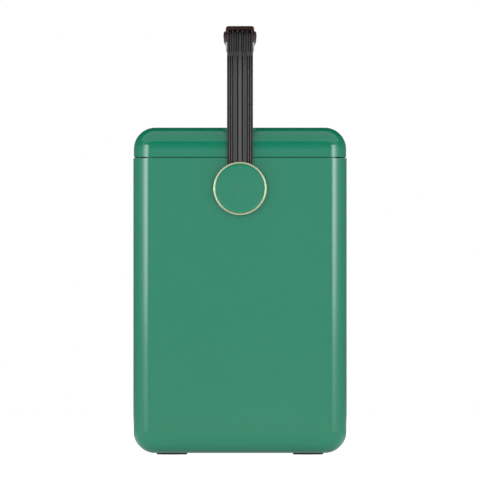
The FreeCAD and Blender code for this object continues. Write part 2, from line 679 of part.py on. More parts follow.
for dy in key_y:
    box(b, hx - 10, hx - 8.4, panel_y + dy - 3, panel_y + dy + 3, key_z - 3, key_z + 3)
for label, dy in zip(("power_button", "mode_button", "down_button", "up_button"), key_y):
    b = node(label)
    cyl(b, "X", hx - 3.2, panel_y + dy, key_z, button_r, 3.2)
    f = cyl(b, "X", hx - 7.2, panel_y + dy, key_z, 2.0, 5)
    f = soften(b, f, 0.6, lambda x0, x1, y0, y1, z0, z1: near(x0, hx) and near(x1, hx))

# ---- power inlet with a hinged dust flap on the rear face
b = node("dc_socket")
f = box(b, sock_x - 13.8, sock_x + 13.8, hy - 3.05, hy, sock_z - 9.8, sock_z + 9.8)
f = soften(b, f, 3.0, lambda x0, x1, y0, y1, z0, z1: x1 - x0 < .02 and z1 - z0 < .02)
f = box(b, sock_x - 10, sock_x + 10, hy - 20, hy - 3, sock_z - 7, sock_z + 7)
f = box(b, sock_x - 17, sock_x + 17, hy - 5, hy - 3.05, sock_z - 13, sock_z + 13)
box(b, sock_x - 8, sock_x + 8, hy - 14, hy + 1, sock_z - 5, sock_z + 5, cut=True)
for s in (-1, 1):
    cyl(b, "Y", sock_x + 3.6 * s, hy - 15, sock_z, 1.2, 10)
    box(b, sock_x + 10.2 * s - 1.8, sock_x + 10.2 * s + 1.8, hy - 1, hy + 4.0, sock_z + 7.0, sock_z + 9.7)
    box(b, sock_x + 10.2 * s - 1.8, sock_x + 10.2 * s + 1.8, hy + 0.05, hy + 4.0, sock_z + 7.0, sock_z + 10.4)
    cyl(b, "X", sock_x + 10.2 * s - 2.5, hy + 2.2, sock_z + 8.7, 0.75 + pin_clear, 5, cut=True)
flap_z = sock_z + 8.7
flap_y = hy + 2.2
b = node("socket_flap")
cyl(b, "X", sock_x - 8.2, flap_y, flap_z, 1.3, 16.4)
box(b, sock_x - 8.2, sock_x + 8.2, flap_y - 1.0, flap_y + 0.9, sock_z - 8.2, flap_z - 0.9)
box(b, sock_x - 11.2, sock_x + 11.2, hy + 0.2, hy + 2.4, sock_z - 9.0, flap_z - 2.6)
f = box(b, sock_x - 7.2, sock_x + 7.2, hy - 1.6, hy + 1, sock_z - 4.2, sock_z + 4.2)
cyl(b, "X", sock_x - 12.0, flap_y, flap_z, 0.75, 24)
b = node("fuse_holder")
cyl(b, "Y", 40, hy - 30, 58, 6.0, 26.9)
cyl(b, "Y", 40, hy - 8, 58, 8.0, 4.9)

# ---- inside the tub: lamp and temperature probe
b = node("interior_light")
f = box(b, -26, 26, tub_front, tub_front + 4, 288, 302)
f = soften(b, f, 3.0, lambda x0, x1, y0, y1, z0, z1: near(y0, tub_front + 4) and near(y1, tub_front + 4))
b = node("temp_sensor")
cyl(b, "Y", 62, tub_back - 14, 70, 3.2, 14)
cyl(b, "Y", 62, tub_back - 3, 70, 7.0, 3)

# ================================================================= lid
hinge_ys = [hinge_y * s for s in (-1, 1)]
b = node("lid_cover")
lx, ly = lid_w / 2, lid_l / 2
lw = dim("lid_wall", 3.0)
doc.recompute()
box(b, -lx, lx, -ly, ly, lid_low, lid_top)
c = box(b, -lx + lw, lx - lw, -ly + lw, ly - lw, lid_low - 1, lid_top - lw, cut=True)
jx, jy, jz = (lx - lw).value, (ly - lw).value, (lid_top - lw).value
f = soften(b, c, corner - lw, lambda x0, x1, y0, y1, z0, z1: (
    upright(x0, x1, y0, y1, z0, z1) and near(abs(x0), jx) or near(z0, jz) and near(z1, jz)))
f = soften(b, f, corner, lambda x0, x1, y0, y1, z0, z1: (
    upright(x0, x1, y0, y1, z0, z1) and near(abs(x0), lx) or near(z0, lid_top) and near(z1, lid_top)))
f = box(b, lx - 6, lx + 1, -34, 34, lid_low - 1, lid_low + 6.6, cut=True)
f = soften(b, f, 3.5, lambda x0, x1, y0, y1, z0, z1: near(abs(y0), 34) and near(z0, (lid_low + 6.6))
           and y1 - y0 < .02 and z1 - z0 < .02)
for yc in hinge_ys:
    box(b, -lx - 1, -lx + 6, yc - hinge_l / 2 - 0.4, yc + hinge_l / 2 + 0.4, lid_low - 1, 339.4, cut=True)

liner_low = dim("lid_liner_low", 340.9)
plug_low = dim("lid_plug_low", 322.0)
plug_gap = dim("lid_plug_gap", 2.2)
doc.recompute()
b = node("lid_liner")
lin_l, lin_r, lin_y = q(-114.2), q(115.7), q(216.0)
f = box(b, lin_l, lin_r, -lin_y, lin_y, liner_low, liner_low + 2)
f = soften(b, f, 20.4, upright)
px0, px1, py0, py1 = -tub_x + plug_gap, tub_x - plug_gap, tub_front + plug_gap, tub_back - plug_gap
f = box(b, px0, px1, py0, py1, plug_low, liner_low + 1)
f = soften(b, f, 11.0, lambda x0, x1, y0, y1, z0, z1: (
    upright(x0, x1, y0, y1, z0, z1) and near(z0, plug_low) or False))
f = soften(b, f, 4.0, lambda x0, x1, y0, y1, z0, z1: near(z0, plug_low) and near(z1, plug_low))
box(b, px0 + 11, px1 - 11, py0 + 11, py1 - 11, plug_low + 2, liner_low + 3, cut=True)
box(b, px0 + 2, px1 - 2, py0 + 11, py1 - 11, plug_low + 6, liner_low + 3, cut=True)
box(b, px0 + 11, px1 - 11, py0 + 2, py1 - 2, plug_low + 6, liner_low + 3, cut=True)

b = node("lid_foam")
f = box(b, lin_l, lin_r - 0.5, -lin_y + 0.7, lin_y - 0.7, liner_low + 2, lid_top - lw - 0.1)
f = soften(b, f, corner - lw - 0.6, lambda x0, x1, y0, y1, z0, z1: (
    upright(x0, x1, y0, y1, z0, z1) or near(z0, lid_top - lw - 0.1) and near(z1, lid_top - lw - 0.1)))
box(b, px0 + 11, px1 - 11, py0 + 11, py1 - 11, plug_low + 2, liner_low + 3)

b = node("lid_gasket")
gx0, gx1, gy0, gy1 = -tub_x - 6, tub_x + 6, tub_front - 6, tub_back + 6
box(b, gx0 - 7, gx1 + 7, gy0 - 7, gy1 + 7, deck_top + 0.2, liner_low)
f = box(b, gx0, gx1, gy0, gy1, deck_top - 1, liner_low + 1, cut=True)
f = soften(b, f, 6.0, upright)

# ---- two five-knuckle hinges: leaves, pins, screws
body_leaves, lid_leaves, pins, leaf_screws = [], [], [], []
hxv, hzv = hinge_x.value, hinge_z.value
seg = hinge_l.value / 5
for yc in hinge_ys:
    y_start = yc.value - hinge_l.value / 2
    pins.append(rod((hxv, y_start, hzv), (0, 1, 0), pin_r.value, hinge_l.value))
    leaf = None
    for i in range(5):
        on_body = i % 2 == 0
        gap = 0.0 if on_body else 0.2
        ya, yb = y_start + seg * i + gap, y_start + seg * (i + 1) - gap
        r_hole = pin_r.value + (0.0 if on_body else pin_clear.value)
        barrel = rod((hxv, ya, hzv), (0, 1, 0), knuckle_r.value, yb - ya)
        if on_body:
            link = Part.makeBox(1.5, yb - ya, 14.0, V(-115.3, ya, 323.0))
        else:
            link = Part.makeBox(1.5, yb - ya, 6.8, V(-116.0, ya, hzv))
        piece = barrel.fuse(link).cut(rod((hxv, ya - 1, hzv), (0, 1, 0), r_hole, yb - ya + 2))
        if on_body:
            leaf = piece if leaf is None else leaf.fuse(piece)
        else:
            lid_leaves.append(piece.removeSplitter())
    plate = Part.makeBox(1.5, hinge_l.value, 9.2, V(-115.3, y_start, 323.0))
    leaf = leaf.fuse(plate)
    for dy in (-20, 20):
        hole = rod((-116, yc.value + dy, 328.6), (1, 0, 0), 1.5, 4)
        sink = Part.makeCone(3.0, 1.5, 1.2, V(-115.3, yc.value + dy, 328.6), V(1, 0, 0))
        leaf = leaf.cut(hole).cut(sink)
        head = Part.makeCone(2.9, 1.5, 1.16, V(-115.3, yc.value + dy, 328.6), V(1, 0, 0))
        leaf_screws.append(head.fuse(rod((-115.3, yc.value + dy, 328.6), (1, 0, 0), 1.45, 4.3)).removeSplitter())
    body_leaves.append(leaf.removeSplitter())
group("hinge_body_leaves", body_leaves)
group("hinge_lid_leaves", lid_leaves)
group("hinge_pins", pins)
group("hinge_screws", leaf_screws)
# the foam gives room for the leaves and the strips
foam = [o for n, o in nodes if n == "foam_insulation"][0]
for yc in hinge_ys:
    box(foam, -120, -113.0, yc - hinge_l / 2 - 0.6, yc + hinge_l / 2 + 0.6, 321, 327, cut=True)
bulk = [o for n, o in nodes if n == "bulkhead_plate"][0]
box(bulk, -120, -113.0, 90, 100, 321, 327, cut=True)

# ================================================================= handle
# shoulder bolts fixed to the cabinet, on which the arms turn, and the threaded
# inserts moulded into the end walls
b = node("pivot_bolts")
cyl(b, "Y", 0, -strap_out + 2.9, pivot_z, pivot_r, strap_t + strap_gap - 2.9 + 14)
cyl(b, "Y", 0, -strap_out + 0.3, pivot_z, 7.0, 2.7)
cyl(b, "Y", 0, hy - 14, pivot_z, pivot_r, 14 + strap_t + strap_gap - 2.9)
cyl(b, "Y", 0, strap_out - 3.0, pivot_z, 7.0, 2.7)
sk = sketch(b, "XZ_Plane", [(q(3 * math.cos(a * math.pi / 3)), pivot_z + 3 * math.sin(a * math.pi / 3))
                            for a in range(6)], strap_out - 0.3, "Socket")
pocket(b, sk, 3.2)
sk = sketch(b, "XZ_Plane", [(q(3 * math.cos(a * math.pi / 3)), pivot_z + 3 * math.sin(a * math.pi / 3))
                            for a in range(6)], -(strap_out - 0.3), "Socket")
pocket(b, sk, 3.2)
b = node("pivot_inserts")
cyl(b, "Y", 0, -hy, pivot_z, 6.0, 18)
cyl(b, "Y", 0, -hy + wall, pivot_z, 12.0, 2.5)
cyl(b, "Y", 0, hy - 18, pivot_z, 6.0, 18)
cyl(b, "Y", 0, hy - wall - 2.5, pivot_z, 12.0, 2.5)
cyl(b, "Y", 0, -hy - 1, pivot_z, pivot_r, 17, cut=True)
cyl(b, "Y", 0, hy - 16, pivot_z, pivot_r, 17, cut=True)
washers = []
for s in (-1, 1):
    y = -hy.value - 1.4 if s < 0 else hy.value
    washers.append(rod((0, y, pivot_z.value), (0, 1, 0), 19.0, 1.4, pivot_r.value + 0.02))
group("friction_washers", washers)

# ---- the arms: flat straps with a round eye at the pivot
sw = strap_w / 2
eye_r = dim("strap_eye_radius", 28.8)
doc.recompute()
for label, s in (("handle_strap_front", -1), ("handle_strap_rear", 1)):
    b = node(label)
    ya, yb = (-strap_out, -strap_in) if s < 0 else (strap_in, strap_out)
    cyl(b, "Y", 0, ya, pivot_z, eye_r, strap_t)
    box(b, -sw, sw, ya, yb, pivot_z, elbow_z)
    cyl(b, "Y", 0, ya - 1, pivot_z, pivot_r + pin_clear, strap_t + 2, cut=True)
    if s < 0:
        cyl(b, "Y", 0, ya - 1, pivot_z, 7.4, 1 + 3.3, cut=True)
    else:
        cyl(b, "Y", 0, yb - 3.3, pivot_z, 7.4, 4, cut=True)
elbow_in = elbow_r - strap_t
b = node("handle_elbows")
yc = strap_out - elbow_r
for s in (-1, 1):
    cyl(b, "X", -sw, yc * s, elbow_z, elbow_r, strap_w)
    cyl(b, "X", -sw - 1, yc * s, elbow_z, elbow_in, strap_w + 2, cut=True)
box(b, -sw - 1, sw + 1, -strap_out - 1, strap_out + 1, elbow_z - elbow_r - 1, elbow_z, cut=True)
box(b, -sw - 1, sw + 1, -yc, yc, elbow_z - 1, elbow_z + elbow_r + 1, cut=True)
b = node("grip_core")
core_y = strap_out - elbow_r
box(b, -sw, sw, -core_y, core_y, elbow_z + elbow_in, elbow_z + elbow_r)
b = node("grip_cover")
gw = grip_w / 2
ht = handle_top
sk = sketch(b, "XZ_Plane", [(-gw + 7.7, ht - 28.1), (gw - 7.7, ht - 28.1), (gw - 3.3, ht - 25.8), (gw - 2.7, ht - 19.6),
                            (gw - 0.6, ht - 16), (gw, ht - 12.5), (gw - 0.3, ht - 8), (gw - 2.2, ht - 3.6), (gw - 5.6, ht),
                            (-gw + 5.6, ht), (-gw + 2.2, ht - 3.6), (-gw + 0.3, ht - 8), (-gw, ht - 12.5),
                            (-gw + 0.6, ht - 16), (-gw + 2.7, ht - 19.6), (-gw + 3.3, ht - 25.8)])
pad(b, sk, grip_half * 2)
f = box(b, -15.9, 15.9, -(strap_out - 13.5), strap_out - 13.5, elbow_z + elbow_r, ht)
f = soften(b, f, 4.0, lambda x0, x1, y0, y1, z0, z1: near(abs(y0), strap_out - 13.5) and upright(x0, x1, y0, y1, z0, z1))
box(b, -sw, sw, -230, 230, elbow_z + elbow_in, elbow_z + elbow_r, cut=True)

# ---- pivot medallions: enamelled disc inside a gold ring, fixed to the arms
rr = ring_d / 2
b = node("medallions")
cyl(b, "Y", 0, -(strap_out + medal_t) + 0.5, pivot_z, rr - ring_b, medal_t - 0.5)
cyl(b, "Y", 0, strap_out, pivot_z, rr - ring_b, medal_t - 0.5)
b = node("trim_rings")
cyl(b, "Y", 0, -(strap_out + medal_t), pivot_z, rr, medal_t)
cyl(b, "Y", 0, strap_out, pivot_z, rr, medal_t)
f = cyl(b, "Y", 0, -(strap_out + medal_t + 1), pivot_z, rr - ring_b, (strap_out + medal_t + 1) * 2, cut=True)
edge_y = strap_out + medal_t
f = soften(b, f, 0.9, lambda x0, x1, y0, y1, z0, z1: near(abs(y0), edge_y) and near(abs(y1), edge_y) and z1 - z0 > 5)

# ================================================================= output
doc.recompute()
problems = []
for o in doc.Objects:
    state = [s for s in o.State if s in ("Invalid", "Error")]
    if state:
        problems.append("%s %s" % (o.Label, state))
for label, o in nodes:
    s = o.Shape
    if s.isNull() or not s.isValid() or not s.Solids:
        problems.append("%s has no valid shape" % label)
if problems:
    raise RuntimeError("; ".join(problems))
os.makedirs("parts", exist_ok=True)
for label, o in nodes:
    s = o.Shape
    s.exportStep("parts/%s.step" % label)
    print("%-22s solids %2d  volume %10.1f" % (label, len(s.Solids), s.Volume))
print(len(nodes), "sub-parts")
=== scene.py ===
import bpy
import bmesh
import json
import math
import random
from mathutils import Vector, Matrix


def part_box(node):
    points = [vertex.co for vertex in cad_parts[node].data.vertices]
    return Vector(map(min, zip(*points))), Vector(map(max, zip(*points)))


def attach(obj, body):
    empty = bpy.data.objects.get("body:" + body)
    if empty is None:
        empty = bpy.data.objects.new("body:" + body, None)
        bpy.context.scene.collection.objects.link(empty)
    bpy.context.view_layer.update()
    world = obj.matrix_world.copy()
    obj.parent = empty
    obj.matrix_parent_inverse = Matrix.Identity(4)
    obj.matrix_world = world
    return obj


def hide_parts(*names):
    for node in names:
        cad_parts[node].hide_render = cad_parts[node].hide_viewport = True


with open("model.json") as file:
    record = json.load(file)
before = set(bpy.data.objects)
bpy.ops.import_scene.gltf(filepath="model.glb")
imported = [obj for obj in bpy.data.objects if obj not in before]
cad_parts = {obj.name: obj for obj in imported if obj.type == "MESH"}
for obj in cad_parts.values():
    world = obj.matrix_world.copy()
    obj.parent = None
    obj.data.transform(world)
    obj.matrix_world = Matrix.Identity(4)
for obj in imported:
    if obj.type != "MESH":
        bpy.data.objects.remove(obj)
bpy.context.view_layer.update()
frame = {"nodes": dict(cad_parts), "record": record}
nodes = frame["nodes"]
scene = bpy.context.scene
scene.view_settings.view_transform = "Standard"
MM = 0.001
rng = random.Random(7)


def fbox(name):
    lo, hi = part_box(name)
    return Vector(lo), Vector(hi)


# =============================================================== camera
cam_data = bpy.data.cameras.new("camera")
cam_data.sensor_width = 36.0
CAM_DIST = 20.0
FRAME_W = 0.5376                      # width of the picture at the near end face
cam_data.lens = 36.0 * CAM_DIST / FRAME_W
cam_data.clip_start, cam_data.clip_end = 0.5, 60.0
cam = bpy.data.objects.new("camera", cam_data)
scene.collection.objects.link(cam)
near_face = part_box("outer_shell")[0][1]
cam.location = (0.0, near_face - CAM_DIST, 0.2408)
cam.rotation_euler = (math.radians(90), 0, 0)
scene.camera = cam


# =============================================================== node helpers
class Nodes:
    def __init__(self, tree):
        self.t = tree
        self.n = tree.nodes
        self.n.clear()

    def add(self, kind, **kw):
        node = self.n.new(kind)
        for k, v in kw.items():
            if k.startswith("i_"):
                node.inputs[k[2:].replace("_", " ")].default_value = v
            else:
                setattr(node, k, v)
        return node

    def link(self, a, b):
        self.t.links.new(a, b)

    def math(self, op, a, b=None, clamp=False):
        m = self.n.new("ShaderNodeMath")
        m.operation = op
        m.use_clamp = clamp
        for i, v in enumerate((a, b)):
            if v is None:
                continue
            if isinstance(v, (int, float)):
                m.inputs[i].default_value = v
            else:
                self.link(v, m.inputs[i])
        return m.outputs[0]

    def remap(self, v, a, b, c, d, smooth=False):
        m = self.n.new("ShaderNodeMapRange")
        if smooth:
            m.interpolation_type = "SMOOTHSTEP"
        for i, x in zip((1, 2, 3, 4), (a, b, c, d)):
            m.inputs[i].default_value = x
        self.link(v, m.inputs[0])
        return m.outputs[0]

    def ramp(self, v, stops):
        r = self.n.new("ShaderNodeValToRGB")
        e = r.color_ramp.elements
        while len(e) < len(stops):
            e.new(0.5)
        for el, (p, c) in zip(e, stops):
            el.position = p
            el.color = c if len(c) == 4 else (*c, 1)
        self.link(v, r.inputs[0])
        return r.outputs[0]

    def mix(self, f, a, b, mode="MIX"):
        m = self.n.new("ShaderNodeMix")
        m.data_type = "RGBA"
        m.blend_type = mode
        for sock, v in ((m.inputs[0], f), (m.inputs[6], a), (m.inputs[7], b)):
            if isinstance(v, (int, float)):
                sock.default_value = v
            elif isinstance(v, (tuple, list)):
                sock.default_value = v if len(v) == 4 else (*v, 1)
            else:
                self.link(v, sock)
        return m.outputs[2]


def noise(N, coord, scale, detail=3.0, rough=0.5, stretch=None, dist=0.0):
    if stretch:
        mp = N.add("ShaderNodeMapping")
        mp.inputs["Scale"].default_value = stretch
        N.link(coord, mp.inputs["Vector"])
        coord = mp.outputs[0]
    t = N.add("ShaderNodeTexNoise")
    t.inputs["Scale"].default_value = scale
    t.inputs["Detail"].default_value = detail
    t.inputs["Roughness"].default_value = rough
    t.inputs["Distortion"].default_value = dist
    N.link(coord, t.inputs["Vector"])
    return t.outputs["Fac"]


def bump(N, height, strength, distance, normal=None):
    b = N.add("ShaderNodeBump")
    b.inputs["Strength"].default_value = strength
    b.inputs["Distance"].default_value = distance
    N.link(height, b.inputs["Height"])
    if normal is not None:
        N.link(normal, b.inputs["Normal"])
    return b.outputs[0]


def shade(c, k):
    return tuple(max(0.0, min(1.0, x * k)) for x in c)


def material(name):
    m = bpy.data.materials.new(name)
    m.use_nodes = True
    N = Nodes(m.node_tree)
    out = N.add("ShaderNodeOutputMaterial")
    b = N.add("ShaderNodeBsdfPrincipled")
    N.link(b.outputs[0], out.inputs[0])
    tc = N.add("ShaderNodeTexCoord")
    return m, N, b, tc.outputs["Object"]


def moulded(name, color, rough, vary=0.05, grain=None, peel=None, spec=0.5, coat=0.0, coat_rough=0.05,
            dust=0.0, tint=None, wear=0.0):
    """Moulded plastic or enamel: slow colour drift, fine texture, slight gloss changes."""
    m, N, b, co = material(name)
    drift = noise(N, co, 7.0, 2.0, 0.55)
    base = N.mix(drift, shade(color, 1 - vary), shade(tint or color, 1 + vary))
    fine = noise(N, co, 260.0, 2.0, 0.6)
    base = N.mix(N.remap(fine, 0.35, 0.65, 0.0, 0.35), base, shade(color, 1 - vary * 1.2))
    if dust:
        specks = noise(N, co, 900.0, 1.0, 0.5)
        base = N.mix(N.remap(specks, 0.70, 0.78, 0.0, dust, True), base, (0.55, 0.55, 0.52))
    if wear:
        geo = N.add("ShaderNodeNewGeometry")
        edge = N.remap(geo.outputs["Pointiness"], 0.52, 0.62, 0.0, 1.0, True)
        scuff = N.remap(noise(N, co, 55.0, 4.0, 0.7), 0.45, 0.65, 0.0, wear, True)
        base = N.mix(N.math("MULTIPLY", edge, scuff), base, shade(color, 2.2))
    N.link(base, b.inputs["Base Color"])
    r = noise(N, co, 34.0, 3.0, 0.6)
    N.link(N.remap(r, 0.3, 0.7, max(0.02, rough * 0.86), rough * 1.14), b.inputs["Roughness"])
    b.inputs["Specular IOR Level"].default_value = spec
    b.inputs["Coat Weight"].default_value = coat
    b.inputs["Coat Roughness"].default_value = coat_rough
    nrm = None
    if peel:
        nrm = bump(N, noise(N, co, peel[0], 1.5, 0.4), peel[1], 0.0004, nrm)
    if grain:
        v = N.add("ShaderNodeTexVoronoi")
        v.inputs["Scale"].default_value = grain[0]
        N.link(co, v.inputs["Vector"])
        g = N.math("ADD", v.outputs["Distance"], noise(N, co, grain[0] * 1.7, 2.0, 0.6))
        nrm = bump(N, g, grain[1], 0.0003, nrm)
    if nrm is not None:
        N.link(nrm, b.inputs["Normal"])
    return m


def banded(N, co, base, axis, stops, top):
    """Multiplies a colour by a factor that changes along one axis (stops in metres)."""
    sp = N.add("ShaderNodeSeparateXYZ")
    N.link(co, sp.inputs[0])
    v = sp.outputs[axis]
    if axis == "X":
        v = N.math("ABSOLUTE", v)
    a, b = stops[0][0], stops[-1][0]
    f = N.ramp(N.remap(v, a, b, 0.0, 1.0), [((q - a) / (b - a), (k / top,) * 3) for q, k in stops])
    return N.mix(1.0, base, f, "MULTIPLY")


def rubber(name, color, rough=0.55, vary=0.10, spec=0.4, sheen=0.0, along=None, across=None, painted_light_by_height=None):
    top = 1.0
    for stops in (across, painted_light_by_height):
        if stops:
            top *= max(k for _, k in stops)
    color = tuple(min(1.0, c * top) for c in color)
    m, N, b, co = material(name)
    drift = noise(N, co, 16.0, 3.0, 0.6)
    base = N.mix(drift, shade(color, 1 - vary), shade(color, 1 + vary))
    bloom = noise(N, co, 60.0, 4.0, 0.65, stretch=along)
    base = N.mix(N.remap(bloom, 0.5, 0.75, 0.0, 0.35, True), base, shade(color, 1.45))
    # painted light: the across stops and the height stops multiply the colour into painted highlight and painted shade
    # bands
    if across:
        base = banded(N, co, base, "X", [(q * MM, k) for q, k in across], max(k for _, k in across))
    if painted_light_by_height:
        base = banded(N, co, base, "Z", painted_light_by_height, max(k for _, k in painted_light_by_height))
    N.link(base, b.inputs["Base Color"])
    N.link(N.remap(bloom, 0.3, 0.7, rough * 0.85, min(1.0, rough * 1.15)), b.inputs["Roughness"])
    b.inputs["Specular IOR Level"].default_value = spec
    if sheen:
        b.inputs["Sheen Weight"].default_value = sheen
        b.inputs["Sheen Roughness"].default_value = 0.5
    nrm = bump(N, noise(N, co, 1500.0, 2.0, 0.6), 0.16, 0.0002)
    nrm = bump(N, noise(N, co, 160.0, 3.0, 0.6, stretch=along), 0.08, 0.0003, nrm)
    N.link(nrm, b.inputs["Normal"])
    return m


def metal(name, color, rough=0.25, brushed=None, vary=0.06, tarnish=None, aniso=0.0):
    m, N, b, co = material(name)
    drift = noise(N, co, 22.0, 4.0, 0.6)
    base = N.mix(drift, shade(color, 1 - vary), shade(color, 1 + vary))
    if tarnish:
        spots = noise(N, co, 70.0, 5.0, 0.7)
        base = N.mix(N.remap(spots, 0.55, 0.75, 0.0, 0.5, True), base, tarnish)
    N.link(base, b.inputs["Base Color"])
    b.inputs["Metallic"].default_value = 1.0
    if aniso:
        b.inputs["Anisotropic"].default_value = aniso
    streak = noise(N, co, 420.0, 2.0, 0.6, stretch=brushed or (1, 1, 1))
    N.link(N.remap(streak, 0.3, 0.7, rough * 0.75, rough * 1.25), b.inputs["Roughness"])
    N.link(bump(N, streak, 0.06, 0.0002), b.inputs["Normal"])
    return m


def leather(name, color, rough=0.42, painted_grey_sheen=None):
    m, N, b, co = material(name)
    drift = noise(N, co, 30.0, 4.0, 0.6)
    base = N.mix(drift, shade(color, 0.72), shade(color, 1.28))
    # painted sheen: below the given heights the colour turns to the given pale grey-brown
    if painted_grey_sheen:
        zz = N.add("ShaderNodeSeparateXYZ")
        N.link(co, zz.inputs[0])
        h = N.math("ADD", zz.outputs["Z"], N.math("MULTIPLY", N.math("SUBTRACT", noise(N, co, 90.0, 3.0, 0.6), 0.5), 0.0016))
        base = N.mix(N.remap(h, painted_grey_sheen[0], painted_grey_sheen[1], 1.0, 0.0, True), base, painted_grey_sheen[2])
    v = N.add("ShaderNodeTexVoronoi")
    v.inputs["Scale"].default_value = 820.0
    v.inputs["Randomness"].default_value = 0.95
    N.link(co, v.inputs["Vector"])
    pores = N.add("ShaderNodeTexVoronoi", feature="DISTANCE_TO_EDGE")
    pores.inputs["Scale"].default_value = 820.0
    N.link(co, pores.inputs["Vector"])
    crease = N.remap(pores.outputs["Distance"], 0.0, 0.12, 0.0, 1.0, True)
    # painted shade: the grain creases are darkened towards a third of the colour
    base = N.mix(N.remap(crease, 0.0, 1.0, 0.5, 0.0), base, shade(color, 0.35))
    rub = N.remap(noise(N, co, 48.0, 5.0, 0.7), 0.52, 0.72, 0.0, 0.45, True)
    base = N.mix(rub, base, shade(color, 1.9))
    N.link(base, b.inputs["Base Color"])
    N.link(N.remap(drift, 0.3, 0.7, rough * 0.85, rough * 1.2), b.inputs["Roughness"])
    b.inputs["Specular IOR Level"].default_value = 0.14
    nrm = bump(N, crease, 0.55, 0.00025)
    nrm = bump(N, noise(N, co, 130.0, 3.0, 0.55), 0.25, 0.0006, nrm)
    N.link(nrm, b.inputs["Normal"])
    return m


def foam(name, color):
    m, N, b, co = material(name)
    v = N.add("ShaderNodeTexVoronoi")
    v.inputs["Scale"].default_value = 700.0
    N.link(co, v.inputs["Vector"])
    cell = v.outputs["Distance"]
    base = N.mix(N.remap(cell, 0.1, 0.6, 0.0, 0.6), shade(color, 1.05), shade(color, 0.7))
    base = N.mix(noise(N, co, 14.0, 4.0, 0.6), base, shade(color, 0.85))
    N.link(base, b.inputs["Base Color"])
    b.inputs["Roughness"].default_value = 0.9
    N.link(bump(N, cell, 0.5, 0.0006), b.inputs["Normal"])
    return m


def board(name):
    m, N, b, co = material(name)
    br = N.add("ShaderNodeTexBrick")
    br.inputs["Scale"].default_value = 160.0
    br.inputs["Color1"].default_value = (0.02, 0.14, 0.06, 1)
    br.inputs["Color2"].default_value = (0.03, 0.19, 0.08, 1)
    br.inputs["Mortar"].default_value = (0.10, 0.32, 0.14, 1)
    br.inputs["Mortar Size"].default_value = 0.03
    sw = N.add("ShaderNodeMapping")
    sw.inputs["Rotation"].default_value = (0, math.radians(90), 0)
    N.link(co, sw.inputs["Vector"])
    N.link(sw.outputs[0], br.inputs["Vector"])
    N.link(N.mix(noise(N, co, 40.0, 3.0), br.outputs["Color"], (0.02, 0.12, 0.05)), b.inputs["Base Color"])
    b.inputs["Roughness"].default_value = 0.35
    N.link(bump(N, br.outputs["Fac"], 0.3, 0.0001), b.inputs["Normal"])
    return m


def glow(name, color, strength):
    m, N, b, co = material(name)
    n = noise(N, co, 400.0, 2.0)
    base = N.mix(n, shade(color, 0.9), shade(color, 1.1))
    N.link(base, b.inputs["Base Color"])
    N.link(base, b.inputs["Emission Color"])
    b.inputs["Emission Strength"].default_value = strength
    b.inputs["Roughness"].default_value = 0.4
    return m


